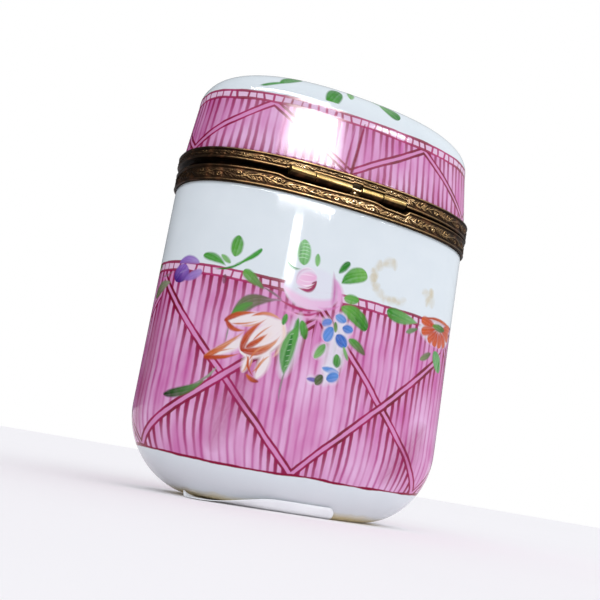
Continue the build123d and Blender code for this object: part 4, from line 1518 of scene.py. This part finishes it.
def build_stop():
    low, high = box_mm("hinge_stop")
    radius = (high.z - low.z) / 2
    profile = [(low.y + radius * (1 - sin(a)), radius * cos(a)) for a in np.radians(np.linspace(84, 0, 9))]
    made = lathe("hinge_stop_piece", profile + [(high.y, radius)], (low + high) / 2, "Y", 32)
    finish_piece(made, "body", "bronze", "hinge_stop", bronze("brass_stop", bright=0.85, tarnish=0.2))


# ---------------------------------------------------------------- clasp
def pin_head(start, end, radius):
    """The profile of a pin head: flat at its start and domed at its end."""
    section = [(start, radius)]
    for angle in np.radians(np.linspace(0, 84, 9)):
        section.append((end - (end - start) * 0.75 * (1 - sin(angle)), radius * cos(angle) ** 0.8))
    return section


def build_stud():
    low, high = box_mm("catch_stud")
    section = pin_head(HALF_DEPTH + 0.1, high.y, (high.z - low.z) / 2)
    made = lathe("catch_stud_piece", section, (low + high) / 2, "Y", 48)
    finish_piece(made, "body", "bronze", "catch_stud", bronze("bronze_stud", bright=0.7))


def build_rivets():
    """Two rivets, each with a shank in the lid's rim, a collar behind the tongue and a domed head."""
    low, high = box_mm("clasp_rivets")
    head, shank = (high.z - low.z) / 2, 0.28
    tongue_low, tongue_high = span_mm("clasp_tongue", 1)
    rim_front, neck, front = HALF_DEPTH + LID_RIM_PROUD, tongue_low - 0.1, tongue_high + 0.1
    parts = []
    for x in (low.x + head, high.x - head):
        section = [(HALF_DEPTH, shank), (rim_front, shank), (rim_front, head), (neck, head), (neck, shank)]
        section += [(front, shank), *pin_head(front, high.y, head)]
        parts.append(lathe(f"rivet_{len(parts)}", section, (x, 0, (low.z + high.z) / 2), "Y", 40))
    made = join("clasp_rivets_piece", parts)
    finish_piece(made, "lid", "bronze", "clasp_rivets", bronze("bronze_rivets", bright=0.7))


def join(name, parts):
    """One object from several meshes."""
    points, faces, start = [], [], 0
    for part in parts:
        points += [tuple(c / MM for c in v.co) for v in part.data.vertices]
        faces += [[start + i for i in polygon.vertices] for polygon in part.data.polygons]
        start += len(part.data.vertices)
        bpy.data.objects.remove(part)
    return make_object(name, points, faces)


def apply_modifiers(made):
    """Makes the object's modifiers final."""
    graph = bpy.context.evaluated_depsgraph_get()
    mesh = bpy.data.meshes.new_from_object(made.evaluated_get(graph))
    made.modifiers.clear()
    made.data = mesh


def build_tongue():
    """A flat plate with rounded corners, bevelled, with a hole for each rivet."""
    (x0, y0, z0), (x1, y1, z1) = box_mm("clasp_tongue")
    corner, steps, hole_radius, bevel_width = 0.6, 8, 0.35, 0.07
    left, right, bottom, top = x0 + corner, x1 - corner, z0 + corner, z1 - corner
    outline = []
    for x, z, first in ((right, top, 0), (left, top, 90), (left, bottom, 180), (right, bottom, 270)):
        for turn in np.radians(first + np.linspace(0, 90, steps + 1)):
            outline.append((x + corner * cos(turn), z + corner * sin(turn)))
    count = len(outline)
    points = [(x, y, z) for y in (y0, y1) for x, z in outline]
    faces = [list(range(count)), list(range(2 * count - 1, count - 1, -1))]
    faces += [[k, k + count, (k + 1) % count + count, (k + 1) % count] for k in range(count)]
    made = make_object("clasp_tongue_piece", points, faces, smooth=False)
    low, high = box_mm("clasp_rivets")
    through = [(y0 - 1, hole_radius), (y1 + 1, hole_radius)]
    for x in (low.x + 0.5, high.x - 0.5):
        cutter = lathe("cutter", through, (x, 0, (low.z + high.z) / 2), "Y", 32)
        hole = made.modifiers.new("hole", "BOOLEAN")
        hole.object, hole.solver = cutter, "EXACT"
        bpy.context.view_layer.update()
        apply_modifiers(made)
        bpy.data.objects.remove(cutter)
    bevel = made.modifiers.new("edges", "BEVEL")
    bevel.width, bevel.segments, bevel.limit_method = bevel_width * MM, 3, "ANGLE"
    apply_modifiers(made)
    made.data.polygons.foreach_set("use_smooth", [False] * len(made.data.polygons))
    finish_piece(made, "clasp", "bronze", "clasp_tongue", bronze("bronze_tongue", bright=0.55))


def build_thumbpiece():
    """An oval boss with a fluted shell raised on it."""
    low, high = box_mm("clasp_thumbpiece")
    half, middle = (high - low) / 2, (low + high) / 2
    back, depth = low.y, high.y - low.y
    sides = 144
    turn = np.linspace(0, 2 * pi, sides, endpoint=False)
    rows, values = [], []

    def add(share, y, value):
        x, z = middle.x + half.x * share * np.sin(turn), middle.z + half.z * share * np.cos(turn)
        rows.append(np.stack([x, y * np.ones(sides), z], -1))
        values.append(value * np.ones(sides))

    add(0.3, back, 0.3)
    add(0.94, back, 0.3)
    for a in np.radians((-60, -20, 20, 60)):
        add(0.94 + 0.06 * cos(a), back + depth * (0.22 + 0.16 * sin(a)), 0.8)
    add(0.84, back + depth * 0.36, 0.05)
    for share in np.linspace(0.8, 0.05, 26):
        fan = np.cos(9 * turn) * smoothstep(share, 0.12, 0.4) * (1 - smoothstep(share, 0.7, 0.8))
        crown = depth * (0.36 + 0.52 * (1 - (share / 0.82) ** 2))
        add(share, back + crown + 0.06 * fan, 0.45 + 0.4 * fan)
    made = revolve("clasp_thumbpiece_piece", np.stack(rows))
    set_relief(made, np.stack(values))
    finish_piece(made, "clasp", "bronze", "clasp_thumbpiece", bronze("bronze_thumbpiece", by_relief=True))


# ---------------------------------------------------------------- build
def dress_cad_nodes():
    """Gives the CAD nodes that stay, all of them hidden or nearly so, their materials."""
    cement = plain_porcelain("set_cement", linear(104, 92, 74), 0.8)
    dark = bronze("bronze_inner", bright=0.2)
    steel = bronze("bronze_pin", bright=0.75, tarnish=0.2)
    dressed = {"body_bedding": cement, "lid_bedding": cement, "hinge_bearer": dark, "hinge_pin": steel}
    for node, material in dressed.items():
        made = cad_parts[node]
        made.data.materials.clear()
        made.data.materials.append(material)


build_porcelain_body()
build_porcelain_lid()
build_label()
build_body_rim()
build_lid_rim()
build_collar()
for knuckle_name, knuckle_body, knuckle_seed, knuckle_flutes in (
    ("hinge_knuckle_left", "lid", 1, 9),
    ("hinge_knuckle_long", "body", 2, 5),
    ("hinge_knuckle_short", "body", 3, 7),
    ("hinge_knuckle_right", "lid", 4, 9),
):
    build_knuckle(knuckle_name, knuckle_body, knuckle_seed, knuckle_flutes)
build_stop()
build_stud()
build_rivets()
build_tongue()
build_thumbpiece()
dress_cad_nodes()


# ---------------------------------------------------------------- stage, light and camera
CAMERA_AZIMUTH, CAMERA_ELEVATION, CAMERA_ROLL = radians(-23.29), radians(-10.97), radians(9.69)
CAMERA_DISTANCE = 138.23
CAMERA_TARGET = Vector((-1.84, 0.0, 31.75))
CAMERA_LENS, CAMERA_SENSOR = 53.46, 36.0


def away_from_target():
    """The direction from the target to the camera."""
    level = cos(CAMERA_ELEVATION)
    return Vector((sin(CAMERA_AZIMUTH) * level, -cos(CAMERA_AZIMUTH) * level, sin(CAMERA_ELEVATION)))


def camera_place():
    return CAMERA_TARGET + away_from_target() * CAMERA_DISTANCE


def make_camera():
    data = bpy.data.cameras.new("camera")
    data.lens, data.sensor_width = CAMERA_LENS, CAMERA_SENSOR
    data.clip_start, data.clip_end = 0.005, 20.0
    camera = bpy.data.objects.new("camera", data)
    bpy.context.scene.collection.objects.link(camera)
    back = away_from_target()
    level_right = (-back).cross(Vector((0, 0, 1))).normalized()
    level_up = level_right.cross(-back)
    right = level_right * cos(CAMERA_ROLL) + level_up * sin(CAMERA_ROLL)
    up = -level_right * sin(CAMERA_ROLL) + level_up * cos(CAMERA_ROLL)
    turn = Matrix((right, up, back)).transposed().to_4x4()
    camera.matrix_world = Matrix.Translation(camera_place() * MM) @ turn
    bpy.context.scene.camera = camera


def make_floor():
    bpy.ops.mesh.primitive_circle_add(vertices=128, radius=3.0, fill_type="NGON")
    floor = bpy.context.object
    floor.name = "floor"
    s = Shader("floor_paper")
    mottle = s.noise(s.object_place(), 30.0, 3.0)
    s.set(Base_Color=s.mix(mottle, linear(247, 242, 243), linear(250, 245, 246)), Roughness=0.9)
    s.set(Specular_IOR_Level=0.1, Emission_Color=(1.0, 1.0, 1.0, 1.0), Emission_Strength=0.03)
    floor.data.materials.append(s.material)


def mirrored(point, normal):
    """Where the camera's sight of a glossy point is thrown."""
    to_camera = (camera_place() - Vector(point)).normalized()
    normal = Vector(normal).normalized()
    return normal * (2 * normal.dot(to_camera)) - to_camera


def wall(u, z):
    """A point of the body's upright wall."""
    return ring(u, z, 0.0)


def normal_of(surface, u, z):
    """The outward normal of a surface at its coordinates."""
    step = 0.05
    along = Vector(surface(u + step, z) - surface(u - step, z))
    upward = Vector(surface(u, z + step) - surface(u, z - step))
    return along.cross(upward).normalized()


def softbox(name, surface, left, right, low, high, brightness, distance=0.6):
    """A softbox that shows in a glossy surface between two arc lengths and two heights. It stands where the
    camera's sight of that patch is thrown, and gives no diffuse light."""
    corners = []
    for u, z in ((left, low), (right, low), (right, high), (left, high)):
        point = surface(u, z)
        corners.append(Vector(point) * MM + mirrored(point, normal_of(surface, u, z)) * distance)
    middle = sum(corners, Vector()) / 4
    across = (corners[1] + corners[2] - corners[0] - corners[3]) / 2
    upright = (corners[2] + corners[3] - corners[0] - corners[1]) / 2
    facing = (middle - Vector(surface((left + right) / 2, (low + high) / 2)) * MM).normalized()
    x_axis = (across - facing * across.dot(facing)).normalized()
    y_axis = facing.cross(x_axis)
    data = bpy.data.lights.new(name, "AREA")
    data.shape = "RECTANGLE"
    data.size, data.size_y = across.length, abs(upright.dot(y_axis))
    data.energy = brightness * pi * data.size * data.size_y
    data.color = (0.97, 0.985, 1.0)
    light = bpy.data.objects.new(name, data)
    light.matrix_world = Matrix.Translation(middle) @ Matrix((x_axis, y_axis, facing)).transposed().to_4x4()
    light.visible_camera = False
    light.visible_diffuse = False
    bpy.context.scene.collection.objects.link(light)


WORLD_LEVEL, WORLD_SWING, WORLD_BRIGHT_SIDE = 0.81, 0.47, (0.61, -0.507, 0.61)
MIRROR_LEVEL, MIRROR_SWING, MIRROR_BRIGHT_SIDE = 0.5, 1.1, (0.35, -0.75, 0.55)


def studio_level(w, direction, level, swing, bright_side):
    """A brightness that changes evenly over the sphere of directions."""
    for part, share in zip(direction, bright_side):
        level = part.scaled(share * swing, level)
    return w.math("MAXIMUM", level, 0.02)


def make_world():
    """A pale studio that is brighter overhead, to the front and to the right, more so in what glossy surfaces
    mirror. The backdrop itself is white."""
    world = bpy.data.worlds.new("studio")
    bpy.context.scene.world = world
    world.use_nodes = True
    w = Nodes(world.node_tree)
    w.tree.nodes.clear()
    direction = w.split(w.node("ShaderNodeTexCoord").outputs["Generated"])
    soft = studio_level(w, direction, WORLD_LEVEL, WORLD_SWING, WORLD_BRIGHT_SIDE)
    mirrored_level = studio_level(w, direction, MIRROR_LEVEL, MIRROR_SWING, MIRROR_BRIGHT_SIDE)
    path = w.node("ShaderNodeLightPath").outputs
    shown, mirror, backdrop = (
        w.node("ShaderNodeBackground", Color=colour, Strength=strength).outputs[0]
        for colour, strength in (((0.93, 0.965, 1.0, 1.0), soft), ((0.95, 0.975, 1.0, 1.0), mirrored_level),
                                 ((1.0, 1.0, 1.0, 1.0), 1.0))
    )
    for ray, background in (("Is Glossy Ray", mirror), ("Is Camera Ray", backdrop)):
        both = w.tree.nodes.new("ShaderNodeMixShader")
        shown = w.feed_in_order(both, (path[ray], shown, background)).outputs[0]
    w.feed(w.tree.nodes.new("ShaderNodeOutputWorld").inputs[0], shown)


make_camera()
make_floor()
make_world()
softbox("window_light", dome_point, -12.8, -5.4, 50.6, 56.9, 90.0)
softbox("window_glow", dome_point, -14.2, -4.6, 49.6, 57.4, 36.0, distance=0.62)
softbox("strip_light", wall, -10.0, -8.7, 31.7, 41.0, 46.0)
softbox("rim_light", wall, -12.7, -4.3, 42.8, 43.6, 110.0)
softbox("shoulder_light", dome_point, -20.0, -7.5, 58.75, 59.1, 60.0)
softbox("edge_light", dome_point, 0.5, 6.7, 57.7, 58.15, 50.0)
bpy.context.scene.view_settings.view_transform = "Standard"
